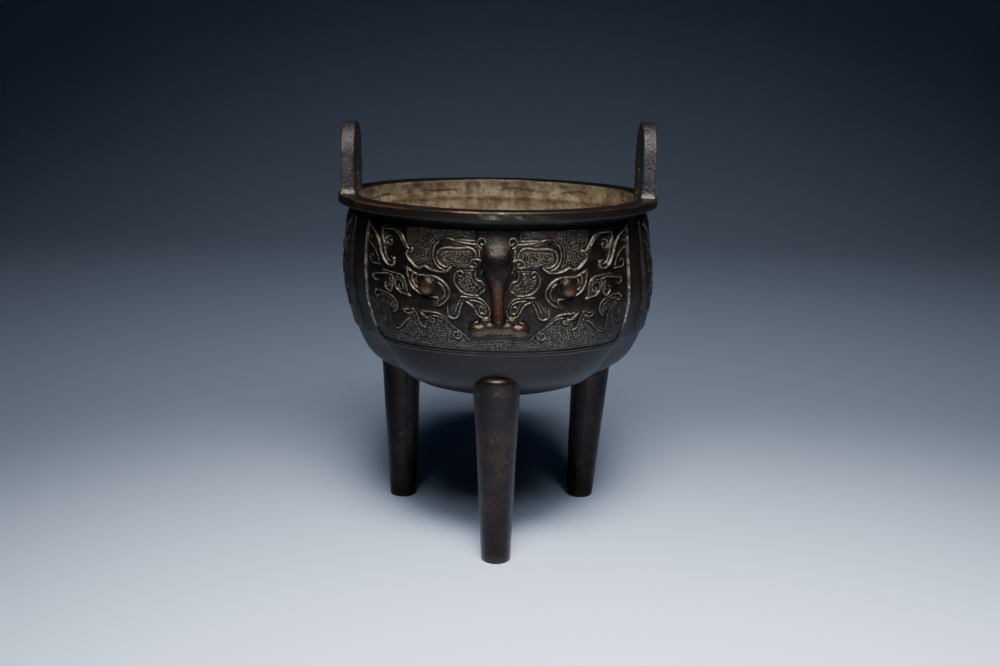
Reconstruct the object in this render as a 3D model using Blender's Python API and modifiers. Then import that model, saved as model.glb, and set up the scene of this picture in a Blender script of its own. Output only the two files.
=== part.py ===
"""Tripod incense burner of the ding form, one bronze casting.

A hollow three-lobed bowl with a flat everted rim stands on three tapered legs, one under each lobe.
Two upright loop handles rise from the rim. Each lobe carries a raised panel with an animal mask:
nose and muzzle, round eyes, lids, brows, horns, feathers, scrolls and jaws inside a thread frame.

Metres, +Z up. The origin is on the ground under the middle of the rim, the front leg points to -Y
and the handles stand at -X and +X.
"""
import math

import bmesh
import bpy
import numpy as np

# Rim and mouth
RIM_RADIUS = 0.0850
RIM_HEIGHT = 0.1839
LIP_THICKNESS = 0.0045
LIP_ROUND = 0.0009
NECK_FILLET = 0.0016

# Bowl, outer stations of the lobe meridian
NECK_RADIUS = 0.0783
SHOULDER_RADIUS = 0.0806
SHOULDER_HEIGHT = 0.1615
BELLY_RADIUS = 0.0822
BELLY_HEIGHT = 0.1369
HIP_RADIUS = 0.0784
HIP_HEIGHT = 0.1139
TURN_RADIUS = 0.0700
TURN_HEIGHT = 0.0961
UNDER_RADIUS = 0.0446
UNDER_HEIGHT = 0.0837
BOTTOM_HEIGHT = 0.0750
UNDER_CURVE = 1.7
WALL = 0.0038
BOWL_STEPS = 48
HOLLOW_STEPS = 36

# Steps of the bowl's profile between one station and the next
OUTER_STEPS = (1, 1, 2, 3, 3, 2)
INNER_STEPS = (1, 1, 1, 2, 2, 2)
FINE_STEPS = (24, 24, 24, 24, 24, 24)

# Lobes: depth of the crease between two lobes as a share of the radius, and how suddenly it falls in
LOBE_COUNT = 3
CREASE_BELLY = 0.015
CREASE_HIP = 0.060
CREASE_TURN = 0.200
CREASE_UNDER = 0.210
CREASE_SHARPNESS = 5.0
BOWL_SWAY = 0.0019

# Legs
FOOT_CIRCLE = 0.0611
FOOT_RADIUS = 0.0077
ROOT_CIRCLE = 0.0650
ROOT_RADIUS = 0.0117
ROOT_RISE = 0.0054
LEG_ROUND = 0.0032
FOOT_EDGE = 0.0006
LEG_TWIST = math.radians(1.8)
LEG_SWAY = 0.0009
LEG_STEPS = 16

# Handles
HANDLE_WIDTH = 0.0327
HANDLE_THICKNESS = 0.0072
HANDLE_SETBACK = 0.0029
HANDLE_RISE_LEFT = 0.0367
HANDLE_RISE_RIGHT = 0.0385
HANDLE_SLOT = 0.0130
HANDLE_CROWN = 0.0138
HANDLE_EDGE = 0.0007
HANDLE_FLARE = 0.0013
HANDLE_EMBED = 0.0025

# Mask panels
PANEL_FOOT_HEIGHT = 0.1135
PANEL_TOP_HEIGHT = 0.1745
PANEL_HALF_WIDTH = 0.0784
PANEL_FOOT_INSET = 0.0020
PANEL_CORNER = 0.0090
PANEL_RAISE = 0.0008
EMBED = 0.0011
FRAME_RAISE = 0.0007
FRAME_WIDTH = 0.0026
FRAME_MARGIN = 0.0013
THREAD_WIDTH = 0.0015
THREAD_MARGIN = 0.00115
THREAD_RAISE = 0.0006
FORM_RAISE = 0.0007
EYE_RADIUS = 0.0041
EYE_RISE = 0.0026
NOSE_RISE = 0.0040

# The mask was drawn on a flattened panel of this half width and height, in millimetres
DRAWN_HALF_WIDTH = 78.4
DRAWN_HEIGHT = 61.0
MILLIMETRES = 1000.0

# Half the mask, each form as (across, up, width) along its middle line
MASK_FORMS = {
    "brow_inner": [(23.6, 55.7, 1.3), (15.0, 54.0, 2.5), (10.2, 52.2, 2.6), (8.8, 46.6, 1.8)],
    "brow_outer": [(26.6, 54.5, 1.7), (30.2, 50.6, 2.4), (28.4, 44.9, 2.2), (24.0, 44.3, 1.4)],
    "horn": [(45.6, 51.2, 1.7), (50.0, 56.2, 2.5), (62.0, 58.6, 1.4)],
    "feather": [(73.0, 58.6, 1.4), (66.4, 54.2, 2.6), (61.6, 45.0, 2.9), (55.4, 42.4, 1.7)],
    "scroll": [(44.6, 28.2, 1.5), (46.4, 34.2, 2.4), (51.0, 37.4, 2.6), (64.0, 37.4, 2.5), (68.4, 35.2, 1.6)],
    "low_scroll": [(52.0, 21.2, 1.4), (55.0, 26.2, 2.6), (66.0, 25.2, 1.5)],
    "jaw": [(15.8, 9.4, 1.5), (20.2, 13.6, 2.7), (26.6, 19.2, 2.9), (38.4, 20.8, 1.2)],
    "lid": [(29.0, 25.2, 1.2), (24.2, 28.8, 2.0), (26.2, 35.8, 2.0), (34.0, 39.2, 1.7), (44.0, 41.1, 1.1)],
}
EYE_PLACE = (34.3, 33.5)

# Nose and muzzle down the middle: (up, half width, share of the rise, how pointed)
NOSE_STATIONS = [(60.6, 8.6, 0.10, 0.2), (58.0, 8.2, 0.36, 0.2), (54.6, 4.8, 0.58, 0.3), (50.4, 5.2, 0.95, 0.3),
                 (45.6, 6.2, 0.98, 0.4), (40.4, 8.2, 0.78, 0.8), (35.0, 6.6, 0.67, 1.0),
                 (26.4, 4.4, 0.72, 0.9), (19.4, 5.2, 0.92, 0.3), (15.0, 4.6, 0.94, 0.1)]
MUZZLE_HALF_WIDTH = 0.0146
MUZZLE_RISE = 0.0044
MUZZLE_LOBE = 0.0042
MUZZLE_PLACE = 14.6

METAL_COLOUR = (0.035, 0.024, 0.018, 1.0)


def spline(points, steps):
    """Smooth curve through points, a centripetal Catmull-Rom with a step count for each span."""
    pts = [np.array(p, float) for p in points]
    pts = [2 * pts[0] - pts[1]] + pts + [2 * pts[-1] - pts[-2]]
    out = []
    for a, b, c, d, per_span in zip(pts, pts[1:], pts[2:], pts[3:], steps):
        ta = 0.0
        tb = ta + math.sqrt(np.linalg.norm(b - a))
        tc = tb + math.sqrt(np.linalg.norm(c - b))
        td = tc + math.sqrt(np.linalg.norm(d - c))
        for i in range(per_span):
            t = tb + (tc - tb) * i / per_span
            ab = a + (b - a) * (t - ta) / (tb - ta)
            bc = b + (c - b) * (t - tb) / (tc - tb)
            cd = c + (d - c) * (t - tc) / (td - tc)
            abc = ab + (bc - ab) * (t - ta) / (tc - ta)
            bcd = bc + (cd - bc) * (t - tb) / (td - tb)
            out.append(abc + (bcd - abc) * (t - tb) / (tc - tb))
    out.append(pts[-2])
    return out


def lip_foot():
    """Height of the lip's lower face."""
    return RIM_HEIGHT - LIP_THICKNESS


def meridian(steps):
    """Outer profile of the bowl under a lobe's middle, from the neck down to the axis."""
    stations = [(NECK_RADIUS, lip_foot() - NECK_FILLET),
                (SHOULDER_RADIUS, SHOULDER_HEIGHT),
                (BELLY_RADIUS, BELLY_HEIGHT),
                (HIP_RADIUS, HIP_HEIGHT),
                (TURN_RADIUS, TURN_HEIGHT),
                (UNDER_RADIUS, UNDER_HEIGHT),
                (0.0, BOTTOM_HEIGHT)]
    curve = spline(stations, steps)
    smooth = []
    for r, z in curve:
        level = max(z, BOTTOM_HEIGHT)
        if r < UNDER_RADIUS:
            share = r / UNDER_RADIUS
            level = BOTTOM_HEIGHT + (UNDER_HEIGHT - BOTTOM_HEIGHT) * share ** UNDER_CURVE
        smooth.append((max(r, 0.0), level))
    return smooth


SIDE_ROWS = sorted((level, radius) for radius, level in meridian(FINE_STEPS))


def side_radius(z):
    """Outer radius of the bowl's side at a height, under a lobe's middle."""
    return float(np.interp(z, [row[0] for row in SIDE_ROWS], [row[1] for row in SIDE_ROWS]))


def crease_depth(z):
    """Depth of the crease between two lobes at a height, as a share of the radius."""
    levels = [UNDER_HEIGHT, TURN_HEIGHT, HIP_HEIGHT, BELLY_HEIGHT, lip_foot() - NECK_FILLET]
    depths = [CREASE_UNDER, CREASE_TURN, CREASE_HIP, CREASE_BELLY, 0.0]
    return float(np.interp(z, levels, depths))


def lobe_factor(angle, z):
    """Radius at an angle from the front lobe, as a share of the radius in a lobe's middle."""
    half_sector = math.pi / LOBE_COUNT
    off = (angle + half_sector) % (2 * half_sector) - half_sector
    return 1.0 - crease_depth(z) * (abs(off) / half_sector) ** CREASE_SHARPNESS


def sway(z):
    """Sideways drift of the bowl's lower part, as the casting has it."""
    top = SHOULDER_HEIGHT
    foot = HIP_HEIGHT
    t = min(max((top - z) / (top - foot), 0.0), 1.0)
    return BOWL_SWAY * t * t * (3 - 2 * t)


def on_bowl(angle, z, lift):
    """Point on the bowl's outer face, lifted outwards. Angle is measured from the front lobe."""
    r = side_radius(z) * lobe_factor(angle, z) + lift
    return (r * math.sin(angle) + sway(z), -r * math.cos(angle), z)


def across_scale():
    """Drawing millimetres for each metre across a panel."""
    return DRAWN_HALF_WIDTH / PANEL_HALF_WIDTH


def up_scale():
    """Drawing millimetres for each metre up a panel."""
    return DRAWN_HEIGHT / (PANEL_TOP_HEIGHT - PANEL_FOOT_HEIGHT)


def on_panel(lobe, across, up, lift):
    """Point over a panel, from drawing millimetres. Lift is above the panel's ground."""
    angle = across / across_scale() / BELLY_RADIUS + lobe * 2 * math.pi / LOBE_COUNT
    z = PANEL_FOOT_HEIGHT + up / up_scale()
    return on_bowl(angle, z, PANEL_RAISE + lift)


def metal(name):
    """Dark patinated bronze."""
    material = bpy.data.materials.new(name)
    material.use_nodes = True
    shader = material.node_tree.nodes["Principled BSDF"]
    shader.inputs["Base Color"].default_value = METAL_COLOUR
    shader.inputs["Roughness"].default_value = 0.42
    shader.inputs["Metallic"].default_value = 0.9
    return material


def new_object(name, mesh, home):
    """Put a mesh in a collection as an object."""
    thing = bpy.data.objects.new(name, mesh)
    home.objects.link(thing)
    return thing


def finished_mesh(thing):
    """The mesh of an object with its modifiers or its curve settings applied, welded."""
    graph = bpy.context.evaluated_depsgraph_get()
    mesh = bpy.data.meshes.new_from_object(thing.evaluated_get(graph))
    mesh.transform(thing.matrix_world)
    bm = bmesh.new()
    bm.from_mesh(mesh)
    bmesh.ops.remove_doubles(bm, verts=bm.verts[:], dist=0.000005)
    bmesh.ops.recalc_face_normals(bm, faces=bm.faces[:])
    bm.to_mesh(mesh)
    bm.free()
    return mesh


def settle(thing):
    """Replace an object's mesh by its finished mesh and drop its modifiers."""
    bpy.context.view_layer.update()
    mesh = finished_mesh(thing)
    old = thing.data
    thing.modifiers.clear()
    thing.data = mesh
    thing.matrix_world.identity()
    bpy.data.meshes.remove(old)
    return thing


def turned(name, profile, steps, home):
    """Turn a profile about Z, then shape the lobes and the sway into it."""
    mesh = bpy.data.meshes.new(name)
    mesh.from_pydata([(r, 0.0, z) for r, z in profile], [(i, i + 1) for i in range(len(profile) - 1)], [])
    thing = new_object(name, mesh, home)
    screw = thing.modifiers.new("turn", "SCREW")
    screw.steps = steps
    screw.render_steps = steps
    screw.use_merge_vertices = True
    screw.merge_threshold = 0.00001
    settle(thing)
    for vertex in thing.data.vertices:
        x, y, z = vertex.co
        factor = lobe_factor(math.atan2(x, -y), z)
        vertex.co = (x * factor + sway(z), y * factor, z)
    return thing


def bowl_outside(home):
    """The bowl and its lip as a solid block, before the hollow is cut."""
    foot = lip_foot()
    edge = RIM_RADIUS
    profile = [(0.0, RIM_HEIGHT), (edge - LIP_ROUND, RIM_HEIGHT), (edge, RIM_HEIGHT - LIP_ROUND),
               (edge, foot + LIP_ROUND), (edge - LIP_ROUND, foot), (NECK_RADIUS + NECK_FILLET, foot)]
    profile += [tuple(p) for p in meridian(OUTER_STEPS)]
    return turned("bowl_outside", profile, BOWL_STEPS, home)


def hollow(home):
    """The bowl's inside: the outer profile moved in by the wall, open above the rim."""
    outer = meridian(INNER_STEPS)
    points = [(NECK_RADIUS - WALL, RIM_HEIGHT + 0.004), (NECK_RADIUS - WALL, lip_foot() - NECK_FILLET)]
    for before, here, after in zip(outer, outer[1:], outer[2:]):
        along = np.array(after) - np.array(before)
        along = along / np.linalg.norm(along)
        inwards = np.array((along[1], -along[0]))
        r, z = np.array(here) + inwards * WALL
        if r > WALL:
            points.append((r, z))
    points.append((0.0, BOTTOM_HEIGHT + WALL))
    return turned("hollow", [(0.0, RIM_HEIGHT + 0.004)] + points, HOLLOW_STEPS, home)


def leg(index, home):
    """A tapered leg with its foot flat on the ground and its root inside the bowl's wall."""
    root_height = TURN_HEIGHT + ROOT_RISE
    shoulder = root_height - LEG_ROUND
    profile = [(0.0, root_height)]
    for turn in (80, 52, 26, 0):
        profile.append((ROOT_RADIUS - 1.5 * LEG_ROUND * (1 - math.cos(math.radians(turn))),
                        shoulder + LEG_ROUND * math.sin(math.radians(turn))))
    for i in range(1, 3):
        t = i / 3
        profile.append((ROOT_RADIUS + (FOOT_RADIUS - ROOT_RADIUS) * t, shoulder + (FOOT_EDGE - shoulder) * t))
    profile += [(FOOT_RADIUS, FOOT_EDGE), (FOOT_RADIUS - FOOT_EDGE, 0.0), (0.0, 0.0)]
    mesh = bpy.data.meshes.new("leg")
    mesh.from_pydata([(r, 0.0, z) for r, z in profile], [(i, i + 1) for i in range(len(profile) - 1)], [])
    thing = new_object(f"leg_{index}", mesh, home)
    screw = thing.modifiers.new("turn", "SCREW")
    screw.steps = LEG_STEPS
    screw.render_steps = LEG_STEPS
    screw.use_merge_vertices = True
    screw.merge_threshold = 0.00001
    settle(thing)
    angle = index * 2 * math.pi / LOBE_COUNT
    foot = np.array((math.sin(angle + LEG_TWIST), -math.cos(angle + LEG_TWIST))) * FOOT_CIRCLE
    root = np.array((math.sin(angle), -math.cos(angle))) * ROOT_CIRCLE + np.array((LEG_SWAY, 0.0))
    for vertex in thing.data.vertices:
        t = vertex.co.z / root_height
        centre = foot + (root - foot) * t
        vertex.co.x += centre[0]
        vertex.co.y += centre[1]
    return thing


def handle(side, rise, home):
    """An upright loop on the rim: an outline with its slot open to the rim, given its thickness."""
    base = RIM_HEIGHT - HANDLE_EMBED
    top = RIM_HEIGHT + rise
    half = HANDLE_WIDTH / 2
    slot = HANDLE_SLOT / 2
    flare_top = RIM_HEIGHT + 2.2 * HANDLE_FLARE
    outline = [(half + HANDLE_FLARE, base), (half + HANDLE_FLARE, RIM_HEIGHT + 0.2 * HANDLE_FLARE),
               (half + 0.35 * HANDLE_FLARE, RIM_HEIGHT + 0.9 * HANDLE_FLARE), (half, flare_top)]
    for i in range(13):
        turn = math.pi * i / 12
        outline.append((half * math.cos(turn), top - half + half * math.sin(turn)))
    outline += [(-half, flare_top), (-half - 0.35 * HANDLE_FLARE, RIM_HEIGHT + 0.9 * HANDLE_FLARE),
                (-half - HANDLE_FLARE, RIM_HEIGHT + 0.2 * HANDLE_FLARE), (-half - HANDLE_FLARE, base), (-slot, base)]
    for i in range(9):
        turn = math.pi * (1 - i / 8)
        outline.append((slot * math.cos(turn), top - HANDLE_CROWN - slot + slot * math.sin(turn)))
    outline.append((slot, base))
    curve = bpy.data.curves.new("handle", "CURVE")
    curve.dimensions = "2D"
    curve.fill_mode = "BOTH"
    curve.extrude = HANDLE_THICKNESS / 2 - HANDLE_EDGE
    curve.bevel_depth = HANDLE_EDGE
    curve.bevel_resolution = 0
    curve.offset = -HANDLE_EDGE
    line = curve.splines.new("POLY")
    line.points.add(len(outline) - 1)
    for point, (y, z) in zip(line.points, outline):
        point.co = (y, z, 0.0, 1.0)
    line.use_cyclic_u = True
    thing = new_object(f"handle_{'left' if side < 0 else 'right'}", curve, home)
    thing.rotation_euler = (math.pi / 2, 0.0, math.pi / 2)
    middle = RIM_RADIUS - HANDLE_SETBACK - HANDLE_THICKNESS / 2
    thing.location = (side * middle, 0.0, 0.0)
    bpy.context.view_layer.update()
    mesh = finished_mesh(thing)
    name = thing.name
    bpy.data.objects.remove(thing)
    return new_object(name, mesh, home)


def panel_edge(up):
    """Half width of a panel at a drawing height, with its rounded lower corners."""
    inset = PANEL_FOOT_INSET * across_scale() * (1 - up / DRAWN_HEIGHT)
    corner = PANEL_CORNER * up_scale()
    short = 0.0
    if up < corner:
        short = 1 - math.sqrt(max(1 - (1 - up / corner) ** 2, 0.0))
    return DRAWN_HALF_WIDTH - inset - short * PANEL_CORNER * across_scale()


def shell_from_grid(name, columns, rows, place, depth, home):
    """A grid whose points a function puts in space, given thickness inwards and closed."""
    bm = bmesh.new()
    bmesh.ops.create_grid(bm, x_segments=columns, y_segments=rows, size=0.5)
    for vertex in bm.verts:
        vertex.co = place(vertex.co.x + 0.5, vertex.co.y + 0.5)
    mesh = bpy.data.meshes.new(name)
    bm.to_mesh(mesh)
    bm.free()
    thing = new_object(name, mesh, home)
    solid = thing.modifiers.new("thickness", "SOLIDIFY")
    solid.thickness = depth
    solid.offset = -1.0
    solid.use_even_offset = False
    return settle(thing)


def mound_from_grid(name, columns, rows, place, home):
    """A grid whose points a function puts in space, with its border dropped to a closed floor."""
    bm = bmesh.new()
    bmesh.ops.create_grid(bm, x_segments=columns, y_segments=rows, size=0.5)
    border = [edge for edge in bm.edges if edge.is_boundary]
    skirt = bmesh.ops.extrude_edge_only(bm, edges=border)["geom"]
    dropped = {item for item in skirt if isinstance(item, bmesh.types.BMVert)}
    low = [item for item in skirt if isinstance(item, bmesh.types.BMEdge) and item.is_boundary]
    bmesh.ops.edgeloop_fill(bm, edges=low)
    for vertex in bm.verts:
        vertex.co = place(vertex.co.x + 0.5, vertex.co.y + 0.5, vertex in dropped)
    mesh = bpy.data.meshes.new(name)
    bm.to_mesh(mesh)
    bm.free()
    return settle(new_object(name, mesh, home))


def plate(lobe, home):
    """The raised ground of a panel."""
    corner = PANEL_CORNER / (PANEL_TOP_HEIGHT - PANEL_FOOT_HEIGHT)
    rows = [0.0, 0.12 * corner, 0.45 * corner, 1.05 * corner, 0.42, 0.71, 1.0]

    def place(s, t):
        up = rows[round(t * (len(rows) - 1))] * DRAWN_HEIGHT
        return on_panel(lobe, (2 * s - 1) * panel_edge(up), up, 0.0)

    return shell_from_grid(f"plate_{lobe}", 14, len(rows) - 1, place, PANEL_RAISE + EMBED, home)


def ribbon(name, lobe, stations, raised, home):
    """A raised band along a drawn line of (across, up, width)."""
    line = [np.array(p[:2], float) for p in stations]
    widths = [p[2] for p in stations]
    last = len(line) - 1
    rims = []
    for i, point in enumerate(line):
        along = line[min(i + 1, last)] - line[max(i - 1, 0)]
        along = along / np.linalg.norm(along)
        across = np.array((-along[1], along[0])) * widths[i] / 2
        rims.append((point - across, point + across))

    def place(s, t):
        low, high = rims[round(s * last)]
        a, v = low + (high - low) * t
        return on_panel(lobe, a, v, raised)

    return shell_from_grid(name, last, 1, place, raised + EMBED, home)


def frame(lobe, side, home):
    """The thread that borders a panel's side, from its top round the lower corner."""
    margin = FRAME_MARGIN * across_scale()
    width = FRAME_WIDTH * across_scale()
    stations = []
    for share in (0.985, 0.71, 0.42, 0.16):
        up = share * DRAWN_HEIGHT
        stations.append((side * (panel_edge(up) - margin - width / 2), up, width))
    reach = PANEL_CORNER - FRAME_MARGIN - FRAME_WIDTH / 2
    corner = PANEL_CORNER * up_scale()
    centre = panel_edge(corner) - PANEL_CORNER * across_scale()
    for turn, wide in ((30, 0.85), (65, 0.65)):
        stations.append((side * (centre + reach * across_scale() * math.cos(math.radians(turn))),
                         corner - reach * up_scale() * math.sin(math.radians(turn)), width * wide))
    if side < 0:
        stations.reverse()
    return ribbon(f"frame_{lobe}_{side}", lobe, stations, FRAME_RAISE, home)


def foot_thread(lobe, home):
    """The thread along a panel's lower edge, between the two side threads."""
    reach = (DRAWN_HALF_WIDTH - (PANEL_FOOT_INSET + PANEL_CORNER) * across_scale()) * 0.985
    width = THREAD_WIDTH * up_scale()
    stations = [(reach * (i / 4 - 1), width / 2 + THREAD_MARGIN * up_scale(), width) for i in range(9)]
    return ribbon(f"foot_thread_{lobe}", lobe, stations, THREAD_RAISE, home)


def eye(lobe, side, home):
    """A round eye boss, a flattened ball half sunk in the panel."""
    bm = bmesh.new()
    bmesh.ops.create_uvsphere(bm, u_segments=8, v_segments=6, radius=1.0)
    middle = np.array(on_panel(lobe, side * EYE_PLACE[0], EYE_PLACE[1], -0.0004))
    out = np.array(on_panel(lobe, side * EYE_PLACE[0], EYE_PLACE[1], 1.0)) - middle
    out = out / np.linalg.norm(out)
    up = np.array((0.0, 0.0, 1.0))
    across = np.cross(up, out)
    half_width = EYE_RADIUS * MILLIMETRES / across_scale()
    half_height = EYE_RADIUS * MILLIMETRES / up_scale()
    for vertex in bm.verts:
        x, y, z = vertex.co
        vertex.co = middle + across * x * half_width + up * y * half_height + out * z * (EYE_RISE + 0.0004)
    mesh = bpy.data.meshes.new("eye")
    bm.to_mesh(mesh)
    bm.free()
    return settle(new_object(f"eye_{lobe}_{side}", mesh, home))


def nose(lobe, home):
    """Forehead, nose ridge and shoulders, as one form that runs down the middle of a panel."""
    last = len(NOSE_STATIONS) - 1

    def place(s, t, low):
        up, half, share, point = NOSE_STATIONS[round(t * last)]
        x = 2 * s - 1
        if low:
            return on_panel(lobe, x * half, up, -EMBED)
        round_top = math.sqrt(max(1 - x * x, 0.0))
        sharp_top = (1 - abs(x)) ** 1.3
        crown = (1 - point) * round_top + point * sharp_top
        lift = NOSE_RISE * share * crown - 0.0005
        return on_panel(lobe, x * half, up, lift)

    return mound_from_grid(f"nose_{lobe}", 4, last, place, home)


def muzzle(lobe, home):
    """The broad muzzle, a bar across the nose's foot with a round lobe at each end."""
    bm = bmesh.new()
    bmesh.ops.create_uvsphere(bm, u_segments=8, v_segments=8, radius=1.0)
    for vertex in bm.verts:
        x, y, z = vertex.co
        span = abs(z)
        lobe_swell = math.exp(-((span - 0.70) / 0.26) ** 2)
        girth = (0.74 + 0.42 * lobe_swell) * (math.sqrt(max(1 - z * z, 0.0)) + 1e-9) ** -0.55
        reach = math.sin(math.asin(max(min(z, 1.0), -1.0)) * 0.98) * MUZZLE_HALF_WIDTH * MILLIMETRES
        droop = -1.6 * lobe_swell + 0.6
        up = MUZZLE_PLACE + droop + y * girth * MUZZLE_LOBE * MILLIMETRES * 0.92
        lift = x * girth * MUZZLE_RISE * 0.86 + 0.0002
        vertex.co = on_panel(lobe, reach, up, lift)
    mesh = bpy.data.meshes.new("muzzle")
    bm.to_mesh(mesh)
    bm.free()
    return settle(new_object(f"muzzle_{lobe}", mesh, home))


def merged(name, things, home):
    """Join pieces that stay clear of each other into one operand."""
    bm = bmesh.new()
    for thing in things:
        bm.from_mesh(thing.data)
        old = thing.data
        bpy.data.objects.remove(thing)
        bpy.data.meshes.remove(old)
    bmesh.ops.triangulate(bm, faces=bm.faces[:])
    mesh = bpy.data.meshes.new(name)
    bm.to_mesh(mesh)
    bm.free()
    thing = new_object(name, mesh, home)
    thing.hide_render = True
    thing.display_type = "WIRE"
    return thing


def combine(target, operand, operation):
    """Add or cut an operand with an exact Boolean."""
    step = target.modifiers.new(operand.name, "BOOLEAN")
    step.object = operand
    step.operation = operation
    step.solver = "EXACT"


def build():
    """Model the burner."""
    for thing in list(bpy.data.objects):
        bpy.data.objects.remove(thing)
    home = bpy.data.collections.new("incense_burner")
    tools = bpy.data.collections.new("incense_burner_cutters")
    bpy.context.scene.collection.children.link(home)
    bpy.context.scene.collection.children.link(tools)

    body = bowl_outside(home)
    body.name = "incense_burner"
    lobes = range(LOBE_COUNT)
    sides = (-1, 1)
    legs = merged("legs", [leg(i, tools) for i in lobes], tools)
    loops = merged("handles", [handle(-1, HANDLE_RISE_LEFT, tools), handle(1, HANDLE_RISE_RIGHT, tools)], tools)
    plates = merged("plates", [plate(i, tools) for i in lobes], tools)
    bands = [foot_thread(i, tools) for i in lobes]
    bands += [frame(i, side, tools) for i in lobes for side in sides]
    forms = []
    for i in lobes:
        for side in sides:
            for name, stations in MASK_FORMS.items():
                line = [(side * a, v, w) for a, v, w in stations]
                if side < 0:
                    line.reverse()
                forms.append(ribbon(f"{name}_{i}_{side}", i, line, FORM_RAISE, tools))
            forms.append(eye(i, side, tools))
    bands = merged("bands", bands, tools)
    forms = merged("forms", forms, tools)
    noses = merged("noses", [nose(i, tools) for i in lobes], tools)
    muzzles = merged("muzzles", [muzzle(i, tools) for i in lobes], tools)
    inside = merged("inside", [hollow(tools)], tools)

    for operand in (plates, bands, noses, forms, muzzles, legs):
        combine(body, operand, "UNION")
    combine(body, inside, "DIFFERENCE")
    combine(body, loops, "UNION")
    body.data.materials.append(metal("bronze"))
    body.data.shade_smooth()
    body.data.set_sharp_from_angle(angle=math.radians(30))


build()
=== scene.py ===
"""Tripod incense burner of the ding form, dark patinated bronze, standing in a plain studio.

A three-lobed bowl with an everted rim stands on three tapered legs and carries two upright loop
handles. Each lobe has a raised panel with an animal mask in relief over a ground of small spirals.

Metres, +Z up. The ground is under the feet, the front leg points to -Y, the handles stand at -X and +X.
"""
import itertools
import logging
import math
from collections.abc import Callable, Sequence
from dataclasses import dataclass, field
from enum import Enum

import bmesh
import bpy
import numpy as np
from mathutils import Matrix


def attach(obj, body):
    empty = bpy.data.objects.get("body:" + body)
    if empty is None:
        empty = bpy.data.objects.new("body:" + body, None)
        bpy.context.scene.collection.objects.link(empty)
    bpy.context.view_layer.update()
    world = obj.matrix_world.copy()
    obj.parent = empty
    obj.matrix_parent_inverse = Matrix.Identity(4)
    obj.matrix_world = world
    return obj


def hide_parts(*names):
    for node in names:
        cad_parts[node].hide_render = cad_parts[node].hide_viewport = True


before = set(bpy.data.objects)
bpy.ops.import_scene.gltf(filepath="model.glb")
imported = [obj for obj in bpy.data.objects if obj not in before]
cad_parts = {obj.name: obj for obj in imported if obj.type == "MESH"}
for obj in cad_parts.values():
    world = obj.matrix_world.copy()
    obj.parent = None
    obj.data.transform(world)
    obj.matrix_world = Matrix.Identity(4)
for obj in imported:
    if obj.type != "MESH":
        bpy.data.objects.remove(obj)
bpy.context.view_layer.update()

LOG = logging.getLogger("incense_burner")
NODE = "incense_burner"
BODY = "root"

Colour = tuple[float, float, float]
Point = tuple[float, float]
Place = tuple[float, float, float]
Layer = tuple[float, float, int]

# Half a lobe's turn, a millimetre, how close two vertices are made one, and a distance beyond all others
HALF_LOBE = math.pi / 3
MILLIMETRE = 0.001
MERGE = 0.000004
FAR = 1e9

# The table of random lumps has this many cells a side, and its corner lies this many cells away
LUMP_CELLS = 32
LUMP_ORIGIN = 101.37

WHITE: Colour = (1.0, 1.0, 1.0)


class Side(Enum):
    """The side of the rim on which a handle stands."""

    LEFT = -1
    RIGHT = 1


# Numeric helpers

def spline(points: Sequence[tuple[float, ...]], steps: int) -> np.ndarray:
    """Draw a centripetal Catmull-Rom curve through points.

    Args:
        points: The points that the curve passes.
        steps: Steps between one point and the next.

    Returns:
        The curve's points, one row each.
    """
    rows = np.array(points, float)
    rows = np.vstack((2 * rows[0] - rows[1], rows, 2 * rows[-1] - rows[-2]))
    curve = []
    for a, b, c, d in zip(rows, rows[1:], rows[2:], rows[3:]):
        gaps = [math.sqrt(max(np.linalg.norm(q - p), 1e-9)) for p, q in ((a, b), (b, c), (c, d))]
        knots = np.cumsum([0.0] + gaps)
        t = (knots[1] + (knots[2] - knots[1]) * np.arange(steps) / steps)[:, None]
        ab = a + (b - a) * (t - knots[0]) / (knots[1] - knots[0])
        bc = b + (c - b) * (t - knots[1]) / (knots[2] - knots[1])
        cd = c + (d - c) * (t - knots[2]) / (knots[3] - knots[2])
        abc = ab + (bc - ab) * (t - knots[0]) / (knots[2] - knots[0])
        bcd = bc + (cd - bc) * (t - knots[1]) / (knots[3] - knots[1])
        curve.append(abc + (bcd - abc) * (t - knots[1]) / (knots[2] - knots[1]))
    return np.vstack(curve + [rows[-2:-1]])


def arc(centre: Point, radii: Point, degrees: Sequence[float]) -> list[Point]:
    """Give the points of an arc, by their angles."""
    turns = np.radians(degrees)
    return [(centre[0] + radii[0] * math.cos(a), centre[1] + radii[1] * math.sin(a)) for a in turns]


def ramp(value: np.ndarray, low: float, high: float) -> np.ndarray:
    """Rise smoothly from 0 at low to 1 at high."""
    t = np.clip((value - low) / (high - low), 0.0, 1.0)
    return t * t * (3 - 2 * t)


def bump(value: np.ndarray, centre: float, width: float) -> np.ndarray:
    """Give a bell of height 1 at centre."""
    return np.exp(-((value - centre) / width) ** 2)


def off_middle(angle: np.ndarray) -> np.ndarray:
    """Give each angle's distance from the middle of its lobe."""
    return np.abs((angle + HALF_LOBE) % (2 * HALF_LOBE) - HALF_LOBE)


def soft_max(sharpness: float, *heights: np.ndarray) -> np.ndarray:
    """Give the greatest of several heights, blended where they are close."""
    return np.log(sum(np.exp(height * sharpness) for height in heights)) / sharpness


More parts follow.
